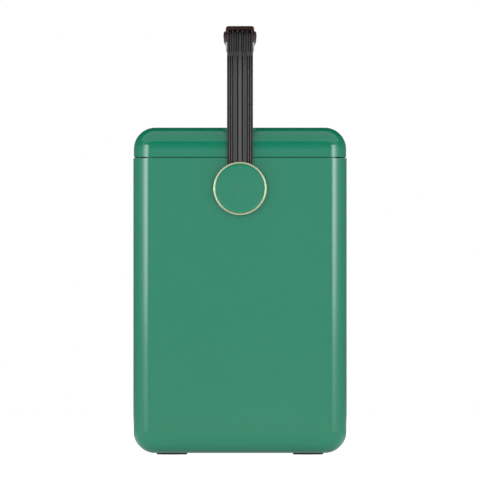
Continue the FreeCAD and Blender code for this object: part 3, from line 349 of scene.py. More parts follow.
# =============================================================== materials
GREEN = (0.0055, 0.1800, 0.1015)
M = {
    "green_plastic": moulded("jade_gloss_plastic", GREEN, 0.10, 0.025, peel=(210.0, 0.012), spec=0.5),
    "lid_green": moulded("jade_gloss_lid", GREEN, 0.10, 0.025, peel=(210.0, 0.012), spec=0.42),
    "collar_green": moulded("jade_satin_collar", GREEN, 0.34, 0.03, peel=(210.0, 0.02), spec=0.25),
    "green_enamel": moulded("jade_enamel", GREEN, 0.12, 0.02, peel=(320.0, 0.012), spec=0.5),
    "gold_metal": metal("pale_gold", (0.46, 0.52, 0.335), 0.42, (1, 6, 1), 0.05),
    "white_liner": moulded("white_liner_plastic", (0.74, 0.755, 0.75), 0.38, 0.03, grain=(1400.0, 0.10)),
    "black_rubber": rubber("black_rubber", (0.030, 0.034, 0.034), 0.6),
    # strap arms: painted highlight on the rib crowns and painted shade in the grooves across the width, and painted
    # shade growing towards the top of the arms under the elbows
    "strap_rubber": rubber("strap_rubber", (0.037, 0.037, 0.0385), 0.5, 0.06, 0.4, along=(6, 6, 0.5),
                           across=((0, 1.75), (1.0, 1.70), (1.45, 0.75), (2.0, 0.6), (2.7, 1.2), (3.9, 1.20), (4.8, 0.92),
                                   (6.2, 0.9), (7.3, 0.62), (8.3, 1.05), (9.0, 1.8), (9.9, 1.85), (10.3, 0.3), (11.0, 0.3),
                                   (11.4, 1.85), (12.3, 1.8), (13.4, 1.2), (14.6, 0.6)),
                           painted_light_by_height=((0.300, 1.0), (0.422, 0.95), (0.436, 0.72), (0.4445, 0.48), (0.4495, 0.42))),
    # elbows: painted highlight and painted shade across the width, a painted highlight band low on the bend and
    # painted shade at the top under the leather strip
    "elbow_rubber": rubber("elbow_rubber", (0.025, 0.025, 0.026), 0.5, 0.06, 0.35, along=(6, 0.5, 0.5),
                           across=((0, 1.8), (0.8, 1.7), (1.6, 0.75), (4.0, 0.78), (6.2, 1.0), (8.4, 1.1), (9.9, 1.2), (10.8, 1.1),
                                   (11.2, 0.45), (12.0, 0.5), (12.5, 1.15), (13.4, 1.1), (14.6, 0.7)),
                           painted_light_by_height=((0.4495, 0.80), (0.4525, 1.10), (0.461, 1.20), (0.4655, 0.85), (0.4695, 0.70), (0.4728, 0.68), (0.4738, 0.40), (0.4755, 0.30))),
    "brown_leather": leather("brown_leather", (0.0235, 0.0078, 0.0056), 0.55),
    "dark_plastic": moulded("charcoal_plastic", (0.020, 0.024, 0.024), 0.42, 0.12, grain=(1600.0, 0.22), dust=0.05),
    "key_plastic": moulded("key_plastic", (0.060, 0.064, 0.064), 0.36, 0.06, grain=(2200.0, 0.12)),
    "display_glass": moulded("smoked_window", (0.006, 0.007, 0.008), 0.06, 0.05, spec=0.6),
    "light_lens": glow("frosted_lens", (0.80, 0.82, 0.80), 0.15),
    "rigid_foam": foam("rigid_foam", (0.74, 0.66, 0.42)),
    "aluminium": metal("mill_aluminium", (0.72, 0.73, 0.74), 0.34, (1, 1, 9), 0.05),
    "galvanised_steel": metal("galvanised_steel", (0.52, 0.54, 0.56), 0.42, (1, 1, 1), 0.12, tarnish=(0.36, 0.38, 0.40)),
    "steel_hardware": metal("zinc_steel", (0.55, 0.55, 0.56), 0.30, (4, 1, 1), 0.06),
    "black_paint": moulded("black_enamel", (0.012, 0.012, 0.014), 0.22, 0.2, peel=(300.0, 0.05), dust=0.08),
    "copper": metal("copper", (0.86, 0.42, 0.26), 0.26, (1, 1, 1), 0.10, tarnish=(0.30, 0.13, 0.08)),
    "brass": metal("brass", (0.80, 0.60, 0.28), 0.26, (1, 5, 1), 0.06),
    "circuit_board": board("circuit_board"),
}
# grip leather: the sleeve's lower sides turn pale grey-brown below about z 0.47 m as a painted sheen
M_GRIP = leather("grip_leather", (0.028, 0.0100, 0.0072), 0.52, painted_grey_sheen=(0.4625, 0.4735, (0.082, 0.076, 0.066)))
# pale leather on the grip's underside: a painted highlight on the lower half of the grip
M_UNDERSIDE_HIGHLIGHT = leather("grip_underside_highlight", (0.60, 0.58, 0.52), 0.62)
M_THREAD = leather("waxed_thread", (0.22, 0.13, 0.08), 0.6)
M_STITCH_HOLE = rubber("stitch_hole", (0.010, 0.007, 0.006), 0.8)
M_RELIEF = moulded("jade_relief", (0.035, 0.235, 0.145), 0.3, 0.04, spec=0.4)
# near-black fleece for the sheets behind the grilles, painted shade
M_SHADE_BACKING = rubber("shade_backing_fleece", (0.014, 0.015, 0.015), 0.9, 0.25, 0.2)
M_MARK = moulded("pale_marking", (0.42, 0.45, 0.44), 0.45, 0.04)
M_DIGIT = glow("display_digits", (0.55, 0.95, 0.90), 1.4)

slots = {s["node"]: s["material_slot"] for s in frame["record"]["subparts"]}
for name, obj in nodes.items():
    mat = M[{"lid_cover": "lid_green", "top_collar": "collar_green"}.get(name, slots[name])]
    if not obj.material_slots:
        obj.data.materials.append(mat)
    for s in obj.material_slots:
        s.material = mat


# =============================================================== mesh helpers
def finish_mesh(bm, name, mats, body, smooth=True, angle=None):
    bmesh.ops.recalc_face_normals(bm, faces=bm.faces)
    me = bpy.data.meshes.new(name)
    bm.to_mesh(me)
    bm.free()
    for m in (mats if isinstance(mats, (list, tuple)) else [mats]):
        me.materials.append(m)
    ob = bpy.data.objects.new(name, me)
    scene.collection.objects.link(ob)
    if smooth:
        if angle is None:
            me.shade_smooth()
        else:
            me.shade_smooth()
            me.set_sharp_from_angle(angle=math.radians(angle))
    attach(ob, body)
    return ob


def loft(bm, rings, closed=True, caps=True, mat=0):
    """Skins a list of rings of points; returns the vertex rings."""
    vr = [[bm.verts.new(p) for p in r] for r in rings]
    n = len(vr[0])
    for a, b in zip(vr, vr[1:]):
        for i in range(n if closed else n - 1):
            j = (i + 1) % n
            f = bm.faces.new((a[i], a[j], b[j], b[i]))
            f.material_index = mat
    if caps and closed:
        for r in (vr[0], vr[-1]):
            try:
                f = bm.faces.new(r)
                f.material_index = mat
            except ValueError:
                pass
    return vr


def lathe_y(bm, profile, cx, cz, steps=128, mat=0):
    """Turns (radius, y) points about the Y axis through cx, cz."""
    rings = []
    for r, y in profile:
        rings.append([(cx + r * math.cos(2 * math.pi * k / steps), y, cz + r * math.sin(2 * math.pi * k / steps))
                      for k in range(steps)])
    return loft(bm, rings, True, True, mat)


# =============================================================== handle
s_lo, s_hi = fbox("handle_strap_front")
e_lo, e_hi = fbox("handle_elbows")
g_lo, g_hi = fbox("grip_cover")
m_lo, m_hi = fbox("medallions")
pivot = Vector((0, 0, (m_lo.z + m_hi.z) / 2))
strap_half = (e_hi.x - e_lo.x) / 2
strap_out_y = -s_lo.y
strap_in_y = -s_hi.y
thick = strap_out_y - strap_in_y
elbow_z = e_lo.z
elbow_r = e_hi.z - e_lo.z
elbow_cy = strap_out_y - elbow_r


def rib_height(x, grooves, depth, width, crown):
    """Outer height below the crest at x: V grooves with soft lips, crowned ribs between."""
    h = 0.0
    for g in grooves:
        d = abs(x - g) / width
        h = max(h, depth * max(0.0, 1 - d * d) ** 0.75 if d < 1 else 0.0)
    edges = sorted(list(grooves) + [-strap_half, strap_half])
    for a, b in zip(edges, edges[1:]):
        if a <= x <= b:
            u = (2 * x - a - b) / (b - a)
            h = max(h, crown * abs(u) ** 2.4)
    return h


ARM_GROOVES = [s * v * MM for v in (2.75, 8.5, 10.75, 13.05) for s in (-1, 1)]
FINE_GROOVES = [s * v * MM for v in (1.35, 4.05, 6.75, 9.45, 12.1) for s in (-1, 1)]


def strap_profile(grooves, depth, width, crown, shrink=0.0):
    """Closed section (x, d): d is measured outward from the strap's inner face."""
    w = strap_half - shrink
    pts = []
    n = 232
    for i in range(n + 1):
        x = -w + 2 * w * i / n
        edge = max(0.0, (abs(x) - (w - 1.1 * MM)) / (1.1 * MM))
        d = thick - shrink - rib_height(x, grooves, depth, width, crown) - 1.1 * MM * (1 - math.sqrt(max(0.0, 1 - edge * edge)))
        pts.append((x, d))
    r = 0.8 * MM
    for k in range(5):
        a = math.pi / 2 * k / 4
        pts.append((w - r + r * math.cos(a), r - r * math.sin(a) + shrink))
    for k in range(5):
        a = math.pi / 2 * k / 4
        pts.append((-w + r - r * math.sin(a), r - r * math.cos(a) + shrink))
    return pts


def blend_profiles(a, b, t):
    return [(p[0] * (1 - t) + q[0] * t, p[1] * (1 - t) + q[1] * t) for p, q in zip(a, b)]


arm_prof = strap_profile(ARM_GROOVES, 2.3 * MM, 0.72 * MM, 0.28 * MM)
# the middle rib is narrow and proud, with broad valleys on each side
arm_prof = [(x, d - (0.62 * MM * (0.5 - 0.5 * math.cos(math.pi * min(1.0, max(0.0, (abs(x) - 1.5 * MM) / (1.3 * MM)))))
                     if abs(x) < 2.8 * MM and d > thick * 0.5 else 0.0)) for x, d in arm_prof]
fine_prof = strap_profile(FINE_GROOVES, 1.6 * MM, 0.72 * MM, 0.25 * MM)
neck_prof = strap_profile(ARM_GROOVES, 0.5 * MM, 0.5 * MM, 0.1 * MM, 0.06 * MM)

for side, s in (("front", -1), ("rear", 1)):
    # ribbed arm
    bm = bmesh.new()
    rings = []
    z_top = elbow_z
    stations = [(pivot.z + 4 * MM, 0.0), (pivot.z + 60 * MM, 0.0), (z_top - 40 * MM, 0.0), (z_top - 3.6 * MM, 0.0),
                (z_top - 3.2 * MM, 0.15), (z_top - 2.7 * MM, 0.7), (z_top - 2.3 * MM, 1.0), (z_top - 0.02 * MM, 1.0)]
    for z, t in stations:
        prof = blend_profiles(arm_prof, neck_prof, t)
        rings.append([(x, s * (strap_in_y + d), z) for x, d in prof])
    loft(bm, rings)
    arm = finish_mesh(bm, "strap_arm_" + side, M["strap_rubber"], "handle", angle=50)
    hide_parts("handle_strap_" + side)
    # round eye behind the medallion
    bm = bmesh.new()
    R = (s_hi.x - s_lo.x) / 2
    yi, yo = s * (strap_in_y + 0.05 * MM), s * (strap_out_y - 0.02 * MM)
    k = -s
    prof = [(7.6 * MM, yo), (7.6 * MM, yo + k * 3.2 * MM), (4.15 * MM, yo + k * 3.2 * MM), (4.15 * MM, yi),
            (R - 1.2 * MM, yi), (R - 0.35 * MM, yi - k * 0.35 * MM), (R, yi - k * 1.2 * MM),
            (R, yo + k * 1.2 * MM), (R - 0.35 * MM, yo + k * 0.35 * MM), (R - 1.2 * MM, yo)]
    ring = []
    for r, y in prof:
        ring.append([(r * math.cos(2 * math.pi * q / 96), y, pivot.z + r * math.sin(2 * math.pi * q / 96)) for q in range(96)])
    vr = loft(bm, ring, True, False)
    for i in range(96):
        j = (i + 1) % 96
        bm.faces.new((vr[-1][i], vr[-1][j], vr[0][j], vr[0][i]))
    eye = finish_mesh(bm, "strap_eye_" + side, M["strap_rubber"], "handle", angle=40)
    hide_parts("handle_strap_" + side)
    # finely ribbed elbow, turning in over the lid
    bm = bmesh.new()
    rings = []
    steps = 40
    for i in range(steps + 1):
        a = math.pi / 2 * i / steps
        t = min(1.0, i / 3.0)
        prof = blend_profiles(neck_prof, fine_prof, t)
        rings.append([(x, s * (elbow_cy + (elbow_r - thick + d) * math.cos(a)),
                       elbow_z + (elbow_r - thick + d) * math.sin(a)) for x, d in prof])
    loft(bm, rings)
    elbow = finish_mesh(bm, "strap_elbow_" + side, M["elbow_rubber"], "handle", angle=50)
    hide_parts("handle_elbows")

# ---- padded leather grip
GX = (g_hi.x - g_lo.x) / 2
GZ0, GZ1 = g_lo.z, g_hi.z
cap_z = e_hi.z                                   # underside of the leather top strip
cap_half_y = (g_hi.y - g_lo.y) / 2 - 2 * MM
sleeve_half = 196.0 * MM


SECTION = [(0.0, 475.5), (7.0, 475.5), (13.0, 475.45), (16.2, 475.2), (17.8, 474.3), (18.5, 472.9), (18.7, 470.8), (18.6, 468.2),
           (18.15, 465.8), (17.3, 463.8), (16.6, 462.4)]
# profile of the grip's lower half, coloured pale as a painted highlight
UNDERSIDE_SECTION = [(16.35, 462.3), (16.25, 460.2), (16.1, 457.9), (15.6, 455.8), (14.3, 454.0), (11.6, 452.95), (6.0, 452.55), (0.0, 452.5)]


def smooth_line(pts, n):
    """Catmull-Rom through the points, n samples per span."""
    out = []
    for i in range(len(pts) - 1):
        p0, p1, p2, p3 = pts[max(0, i - 1)], pts[i], pts[i + 1], pts[min(len(pts) - 1, i + 2)]
        for k in range(n):
            t = k / n
            out.append(tuple(0.5 * (2 * p1[j] + (p2[j] - p0[j]) * t + (2 * p0[j] - 5 * p1[j] + 4 * p2[j] - p3[j]) * t * t
                                    + (3 * p1[j] - p0[j] - 3 * p2[j] + p3[j]) * t ** 3) for j in range(2)))
    out.append(pts[-1])
    return out


def grip_piece(name, half, close_z, mat, replaces):
    """A padded half-shell of the grip, mirrored about x = 0 and run along Y with rounded ends."""
    line = smooth_line(half, 5)
    mid = 464.5
    ys = [-sleeve_half + 6 * MM * (1 - math.cos(math.pi / 2 * i / 14)) for i in range(15)]
    ys += [-(sleeve_half - 6 * MM) + (sleeve_half - 6 * MM) * 2 * i / 150 for i in range(1, 150)]
    ys += [-v for v in reversed(ys[:15])]
    bm = bmesh.new()
    rings = []
    for y in ys:
        e = max(0.0, (abs(y) - (sleeve_half - 6 * MM)) / (6 * MM))
        k = math.sqrt(max(0.0, 1 - 0.55 * min(1.0, e) ** 2))
        soft = 1 - 0.006 * (1 + math.sin(y * 61) * math.sin(y * 23 + 1.0))
        pts = []
        for x, z in line:
            pts.append((x * k * soft * MM, y, (mid + (z - mid) * (k if z < mid else 1.0)) * MM))
        zc = (mid + (close_z - mid) * (k if close_z < mid else 1.0)) * MM
        inner = pts[-1] if half is SECTION else pts[0]
        ring = pts + [(-x, yy, z) for x, yy, z in reversed(pts) if x > 1e-7]
        rings.append(ring)
    loft(bm, rings)
    ob = finish_mesh(bm, name, mat, "handle", angle=70)
    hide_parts(*replaces)
    return ob


sleeve = grip_piece("grip_sleeve", SECTION, 462.0, M_GRIP, ("grip_cover", "grip_core"))
# lower half of the grip in pale leather, a painted highlight
grip_underside = grip_piece("grip_underside_highlight", UNDERSIDE_SECTION, 462.5, M_UNDERSIDE_HIGHLIGHT, ("grip_cover",))

# light bumps where the elbow ribs run in under the leather strip
for side, s in (("front", -1), ("rear", 1)):
    bm = bmesh.new()
    for xc in (-13.35, -8.0, -2.67, 2.67, 8.0, 13.35):
        w = 1.2 if abs(xc) > 13 else 1.45
        rings = []
        for q in range(15):
            t = q / 14
            z = (471.6 + 3.9 * t) * MM
            yy = elbow_cy + math.sqrt(max(0.0, (elbow_r - 0.5 * MM) ** 2 - (min(z, 0.4752) - elbow_z) ** 2))
            yy = max(yy, elbow_cy + 9.7 * MM - 0.4 * MM * t)
            grow = math.sin(math.pi * min(1.0, 0.25 + t * 0.5)) ** 0.5
            rings.append([(xc * MM + w * MM * grow * math.cos(2 * math.pi * k / 16), s * (yy - 0.9 * MM + 1.1 * MM * math.sin(2 * math.pi * k / 16)), z)
                          for k in range(16)])
        loft(bm, rings)
    ob = finish_mesh(bm, "elbow_rib_ends_" + side, M["elbow_rubber"], "handle", angle=60)
    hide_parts("handle_elbows")

# flat leather top strip that runs out over both elbows
bm = bmesh.new()
CX = 15.9 * MM
ch = GZ1 - cap_z
rings = []
strip_y = [-cap_half_y + 5.2 * MM * (1 - math.cos(math.pi / 2 * i / 22)) for i in range(23)]
strip_y += [-(cap_half_y - 5.2 * MM) + (cap_half_y - 5.2 * MM) * 2 * i / 90 for i in range(1, 90)]
strip_y += [-v for v in reversed(strip_y[:23])]
for y in strip_y:
    e = max(0.0, (abs(y) - (cap_half_y - 5 * MM)) / (5 * MM))
    w = CX * (1 - 0.10 * (1 - math.sqrt(max(0.0, 1 - e * e))) * 3)
    nose = max(0.0, (abs(y) - (cap_half_y - 2.4 * MM)) / (2.4 * MM))
    roll = 1 - math.sqrt(max(0.0, 1 - min(1.0, nose) ** 2))
    drop = 0.3 * MM * (1 - math.sqrt(max(0.0, 1 - min(1.0, e) ** 2))) + 1.7 * MM * roll
    ring = []
    r = 2.9 * MM
    top, bot = GZ1 - drop, cap_z + 0.02 * MM + 1.9 * MM * roll
    r = min(r, (top - bot) * 0.62)
    for (qx, qz, a0) in ((w - r, top - r, 0), (-w + r, top - r, 90)):
        for k in range(7):
            a = math.radians(a0 + 90 * k / 6)
            ring.append((qx + r * math.cos(a), y, qz + r * math.sin(a)))
        if a0 == 0:
            for k in range(1, 12):
                x = (w - r) * (1 - 2 * k / 12)
                crown = 0.0
                for sx in (-1, 1):
                    d = abs(x - sx * (CX - 3.6 * MM)) / (0.9 * MM)
                    crown = max(crown, 0.35 * MM * max(0.0, 1 - d * d))
                ring.append((x, y, top - crown))
    r2 = min(1.2 * MM, (top - bot) * 0.34)
    for (qx, qz, a0) in ((-w + r2, bot + r2, 180), (w - r2, bot + r2, 270)):
        for k in range(5):
            a = math.radians(a0 + 90 * k / 4)
            ring.append((qx + r2 * math.cos(a), y, qz + r2 * math.sin(a)))
    rings.append(ring)
loft(bm, rings)
top_strip = finish_mesh(bm, "grip_top_strip", M["brown_leather"], "handle", angle=60)
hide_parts("grip_cover")


def stitches(name, path, pitch, length, width, body, up):
    """A row of short thread capsules along a list of points."""
    bm = bmesh.new()
    acc = 0.0
    for a, b in zip(path, path[1:]):
        a, b = Vector(a), Vector(b)
        L = (b - a).length
        d = (b - a).normalized()
        s_ = acc
        while s_ < L:
            p = a + d * s_
            side = d.cross(Vector(up)).normalized()
            rings = []
            for q in range(7):
                t = -1 + 2 * q / 6
                rad = width / 2 * math.sqrt(max(0.02, 1 - t ** 4))
                lift = 0.22 * MM * (1 - t * t)
                c = p + d * (t * length / 2) + Vector(up) * (lift - 0.12 * MM)
                rings.append([c + side * (rad * math.cos(2 * math.pi * k / 8)) + Vector(up) * (rad * math.sin(2 * math.pi * k / 8))
                              for k in range(8)])
            loft(bm, rings)
            s_ += pitch
        acc = s_ - L
    ob = finish_mesh(bm, name, M_THREAD, body)
    return ob


for sx in (-1, 1):
    path = [(sx * (CX - 3.6 * MM), -cap_half_y + 6 * MM, GZ1 - 0.34 * MM), (sx * (CX - 3.6 * MM), cap_half_y - 6 * MM, GZ1 - 0.34 * MM)]
    st = stitches("top_stitches_%s" % ("left" if sx < 0 else "right"), path, 4.6 * MM, 3.3 * MM, 0.75 * MM, "handle", (0, 0, 1))
# closing seam under the grip
st = stitches("under_stitches", [(0, -sleeve_half + 9 * MM, GZ0 + 0.25 * MM), (0, sleeve_half - 9 * MM, GZ0 + 0.25 * MM)],
              4.6 * MM, 3.3 * MM, 0.8 * MM, "handle", (0, 0, -1))

# ---- medallions: enamel disc with a plain snow-crystal relief
R_D = (m_hi.x - m_lo.x) / 2
for side, s in (("front", -1), ("rear", 1)):
    y_out = m_lo.y if s < 0 else m_hi.y
    k = -s
    y_in = s * (strap_out_y + 0.0 * MM)
    bm = bmesh.new()
    prof = [(R_D - 0.02 * MM, y_in), (R_D - 0.02 * MM, y_out + k * 0.7 * MM), (R_D - 0.25 * MM, y_out + k * 0.3 * MM),
            (R_D - 0.8 * MM, y_out + k * 0.12 * MM)]
    for q in range(1, 14):
        r = (R_D - 0.8 * MM) * (1 - q / 14)
        prof.append((r, y_out + k * 0.12 * MM * (r / R_D) ** 2))
    rings = []
    for r, y in prof:
        rings.append([(r * math.cos(2 * math.pi * q / 128), y, pivot.z + r * math.sin(2 * math.pi * q / 128)) for q in range(128)])
    vr = loft(bm, rings, True, True)
    disc = finish_mesh(bm, "medallion_disc_" + side, M["green_enamel"], "handle", angle=35)
    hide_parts("medallions")
    # rounded trim ring
    bm = bmesh.new()
    ri, ro, yr = R_D - 0.05 * MM, 29.85 * MM, s * 231.45 * MM
    prof = [(ri, s * 227.55 * MM), (ri, yr + k * 0.9 * MM)]
    for q in range(13):
        a = math.pi * q / 12
        c, rad = (ri + ro) / 2, (ro - ri) / 2
        prof.append((c - rad * math.cos(a), yr + k * 0.9 * MM - k * 0.9 * MM * math.sin(a) ** 0.8))
    prof.append((ro, s * 227.55 * MM))
    vr = loft(bm, [[(r * math.cos(2 * math.pi * q / 160), y, pivot.z + r * math.sin(2 * math.pi * q / 160)) for q in range(160)]
                   for r, y in prof], True, False)
    for i in range(160):
        j = (i + 1) % 160
        bm.faces.new((vr[-1][i], vr[-1][j], vr[0][j], vr[0][i]))
    trim = finish_mesh(bm, "trim_ring_" + side, M["gold_metal"], "handle", angle=50)
    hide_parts("trim_rings")
    # relief
    bm = bmesh.new()
    y0 = y_out + k * 0.05 * MM
    y1 = y_out - k * 0.22 * MM

    def bar(p, q, w):
        p, q = Vector((p[0], 0, p[1])), Vector((q[0], 0, q[1]))
        d = (q - p).normalized()
        n = Vector((-d.z, 0, d.x)) * w / 2
        base = [p - n, p + n, q + n * 0.8, q - n * 0.8]
        lo = [bm.verts.new((v.x, y0, v.z + pivot.z)) for v in base]
        hi = [bm.verts.new((v.x * 0.995, y1, v.z * 0.995 + pivot.z)) for v in base]
        bm.faces.new(lo)
        bm.faces.new(hi)
        for i in range(4):
            j = (i + 1) % 4
            bm.faces.new((lo[i], lo[j], hi[j], hi[i]))

    for arm_i in range(6):
        a = math.radians(60 * arm_i + 30)
        u = Vector((math.cos(a), math.sin(a)))
        bar(u * 1.4 * MM, u * 8.6 * MM, 0.55 * MM)
        for r, l in ((4.2, 2.0), (6.4, 1.5)):
            for t in (-1, 1):
                b2 = a + t * math.radians(58)
                v2 = Vector((math.cos(b2), math.sin(b2)))
                bar(u * r * MM, u * r * MM + v2 * l * MM, 0.45 * MM)
    relief = finish_mesh(bm, "medallion_relief_" + side, M_RELIEF, "handle", smooth=False)

# =============================================================== control panel
panel_lo, panel_hi = fbox("control_bezel")
lens_lo, lens_hi = fbox("display_lens")
xf = lens_hi.x


def flat_bar(bm, x, y0, z0, y1, z1, w, t=0.12 * MM):
    """A thin raised bar on a face that looks towards +X."""
    p, q = Vector((0, y0, z0)), Vector((0, y1, z1))
    d = (q - p).normalized()
    n = Vector((0, -d.z, d.y)) * w / 2
    base = [p - n, p + n, q + n, q - n]
    lo = [bm.verts.new((x - 0.03 * MM, v.y, v.z)) for v in base]
    hi = [bm.verts.new((x + t, v.y, v.z)) for v in base]
    bm.faces.new(lo)
    bm.faces.new(hi)
    for i in range(4):
        j = (i + 1) % 4
        bm.faces.new((lo[i], lo[j], hi[j], hi[i]))


SEG = {"0": "abcdef", "1": "bc", "2": "abged", "3": "abgcd", "4": "fgbc", "5": "afgcd", "6": "afgedc", "7": "abc",
       "8": "abcdefg", "9": "abcdfg", "-": "g"}
bm = bmesh.new()
dh, dw = 5.2 * MM, 5.6 * MM                       # half height and width of a digit
zc = (lens_lo.z + lens_hi.z) / 2
yc = (lens_lo.y + lens_hi.y) / 2
for i, ch in enumerate("-18"):
    ym = yc - 14 * MM + i * 10 * MM
    w2 = dw / 2
    ends = {"a": ((-w2, dh), (w2, dh)), "b": ((w2, dh), (w2, 0)), "c": ((w2, 0), (w2, -dh)), "d": ((-w2, -dh), (w2, -dh)),
            "e": ((-w2, 0), (-w2, -dh)), "f": ((-w2, dh), (-w2, 0)), "g": ((-w2, 0), (w2, 0))}
    for sgm in SEG[ch]:
        (a0, b0), (a1, b1) = ends[sgm]
        k0, k1 = 0.10, 0.90
        flat_bar(bm, xf, ym + a0 + (a1 - a0) * k0, zc + b0 + (b1 - b0) * k0, ym + a0 + (a1 - a0) * k1, zc + b0 + (b1 - b0) * k1,
                 1.1 * MM, 0.06 * MM)
for q in range(12):                               # degree ring
    a, b = 2 * math.pi * q / 12, 2 * math.pi * (q + 1) / 12
    yy, zz, r = yc + 14.6 * MM, zc + 3.9 * MM, 1.2 * MM
    flat_bar(bm, xf, yy + r * math.cos(a), zz + r * math.sin(a), yy + r * math.cos(b), zz + r * math.sin(b), 0.45 * MM, 0.06 * MM)
digits = finish_mesh(bm, "display_digits", M_DIGIT, "cabinet", smooth=False)

for node, body in (("power_button", "power_key"), ("mode_button", "mode_key"), ("down_button", "down_key"), ("up_button", "up_key")):
    lo, hi = fbox(node)
    c = (lo + hi) / 2
    x = hi.x - 0.09 * MM
    bm = bmesh.new()
    if node == "power_button":
        for q in range(14):
            a = math.radians(122 + 296 * q / 14)
            b = math.radians(122 + 296 * (q + 1) / 14)
            r = 2.0 * MM
            flat_bar(bm, x, c.y + r * math.cos(a), c.z + r * math.sin(a), c.y + r * math.cos(b), c.z + r * math.sin(b), 0.5 * MM, 0.08 * MM)
        flat_bar(bm, x, c.y, c.z + 0.3 * MM, c.y, c.z + 2.6 * MM, 0.5 * MM, 0.08 * MM)
    elif node == "mode_button":
        for q in range(3):
            flat_bar(bm, x, c.y - 1.9 * MM, c.z + (q - 1) * 1.3 * MM, c.y + 1.9 * MM, c.z + (q - 1) * 1.3 * MM, 0.5 * MM, 0.08 * MM)
    else:
        sgn = 1 if node == "up_button" else -1
        flat_bar(bm, x, c.y - 1.9 * MM, c.z - sgn * 0.9 * MM, c.y, c.z + sgn * 1.1 * MM, 0.55 * MM, 0.08 * MM)
        flat_bar(bm, x, c.y + 1.9 * MM, c.z - sgn * 0.9 * MM, c.y, c.z + sgn * 1.1 * MM, 0.55 * MM, 0.08 * MM)
    ic = finish_mesh(bm, node.replace("button", "symbol"), M_MARK, body, smooth=False)

# near-black pleated sheets behind the slats of the three grilles: painted shade, a dark backing where the inside of
# the machine bay is in shade
def pleated(name, node, axis, depth):
    lo, hi = fbox(node)
    bm = bmesh.new()
    inset = 5.0 * MM
    pitch = 3.2 * MM
    inner = (lo if hi[axis] > 0 else hi)[axis]                 # the grille's inner face
    sgn = 1 if hi[axis] > 0 else -1
    other = 1 - axis
    a0, a1 = lo[other] + inset, hi[other] - inset
    z0, z1 = lo.z + inset, hi.z - inset
    n = int((a1 - a0) / pitch) * 4
    rings = []
    for i in range(n + 1):
        a = a0 + (a1 - a0) * i / n
        d = inner - sgn * (0.35 * MM + depth * (0.5 - 0.5 * math.cos(math.pi * i / 2)))
        ring = []
        for dd, zz in ((d, z0), (d, z1), (d - sgn * 0.3 * MM, z1), (d - sgn * 0.3 * MM, z0)):
            v = [0, 0, zz]
            v[axis], v[other] = dd, a
            ring.append(tuple(v))
        rings.append(ring)
    loft(bm, rings)
    ob = finish_mesh(bm, name, M_SHADE_BACKING, "cabinet", angle=60)
    return ob


pleated("vent_shade_backing_right", "vent_grille_right", 0, 1.6 * MM)
pleated("vent_shade_backing_left", "vent_grille_left", 0, 1.2 * MM)
pleated("vent_shade_backing_rear", "rear_grille", 1, 1.6 * MM)

# =============================================================== studio
def staged(ob):
    return ob


# floor: a pale disc that glows like a light table, pure white to the camera; for reflections and bounce light its glow
# drops near and under the body and towards the back, a painted shadow
bm = bmesh.new()
bmesh.ops.create_circle(bm, cap_ends=True, radius=4.0, segments=96)
me = bpy.data.meshes.new("floor")
bm.to_mesh(me)
bm.free()
floor = bpy.data.objects.new("floor", me)
scene.collection.objects.link(floor)
m = bpy.data.materials.new("pale_floor")
m.use_nodes = True
N = Nodes(m.node_tree)
out = N.add("ShaderNodeOutputMaterial")
dif = N.add("ShaderNodeBsdfDiffuse")
tc = N.add("ShaderNodeTexCoord")
dif.inputs["Color"].default_value = (0.55, 0.55, 0.55, 1)
emi = N.add("ShaderNodeEmission")
emi.inputs["Color"].default_value = (1, 1, 1, 1)
flp = N.add("ShaderNodeLightPath")
ftc = N.add("ShaderNodeTexCoord")
fsp = N.add("ShaderNodeSeparateXYZ")
N.link(ftc.outputs["Object"], fsp.inputs[0])
ex = N.math("SUBTRACT", N.math("ABSOLUTE", fsp.outputs["X"]), 0.1196)
ey = N.math("SUBTRACT", N.math("ABSOLUTE", fsp.outputs["Y"]), 0.220)
away = N.math("MAXIMUM", ex, ey)
# painted shadow: the glow is dimmed near the body's footprint
lit = N.ramp(N.remap(away, -0.030, 0.030, 0.0, 1.0), [
    (0.0, (0.22,) * 3), (0.25, (0.36,) * 3), (0.40, (0.52,) * 3), (0.52, (0.64,) * 3), (0.70, (0.66,) * 3), (1.0, (0.66,) * 3)])
# painted shadow: the glow is also dimmed towards the back of the body
back_off = N.remap(fsp.outputs["Y"], -0.19, -0.02, 1.0, 0.30, True)
lit_bw = N.add("ShaderNodeRGBToBW")
N.link(N.mix(1.0, lit, back_off, "MULTIPLY"), lit_bw.inputs[0])
cam_ray = flp.outputs["Is Camera Ray"]
N.link(N.math("ADD", N.math("MULTIPLY", N.math("SUBTRACT", 1.0, cam_ray), lit_bw.outputs[0]), cam_ray), emi.inputs["Strength"])
add = N.add("ShaderNodeAddShader")
N.link(dif.outputs[0], add.inputs[0])
N.link(emi.outputs[0], add.inputs[1])
N.link(add.outputs[0], out.inputs[0])
me.materials.append(m)
staged(floor)

# world: white to the camera, an even dome for diffuse light, and a studio with a
# ceiling softbox and a level horizon band for reflections
world = bpy.data.worlds.new("studio")
scene.world = world
world.use_nodes = True
N = Nodes(world.node_tree)
wout = N.add("ShaderNodeOutputWorld")
lp = N.add("ShaderNodeLightPath")
tc = N.add("ShaderNodeTexCoord")
sep = N.add("ShaderNodeSeparateXYZ")
N.link(tc.outputs["Generated"], sep.inputs[0])
dz, dy, dx = sep.outputs["Z"], sep.outputs["Y"], sep.outputs["X"]
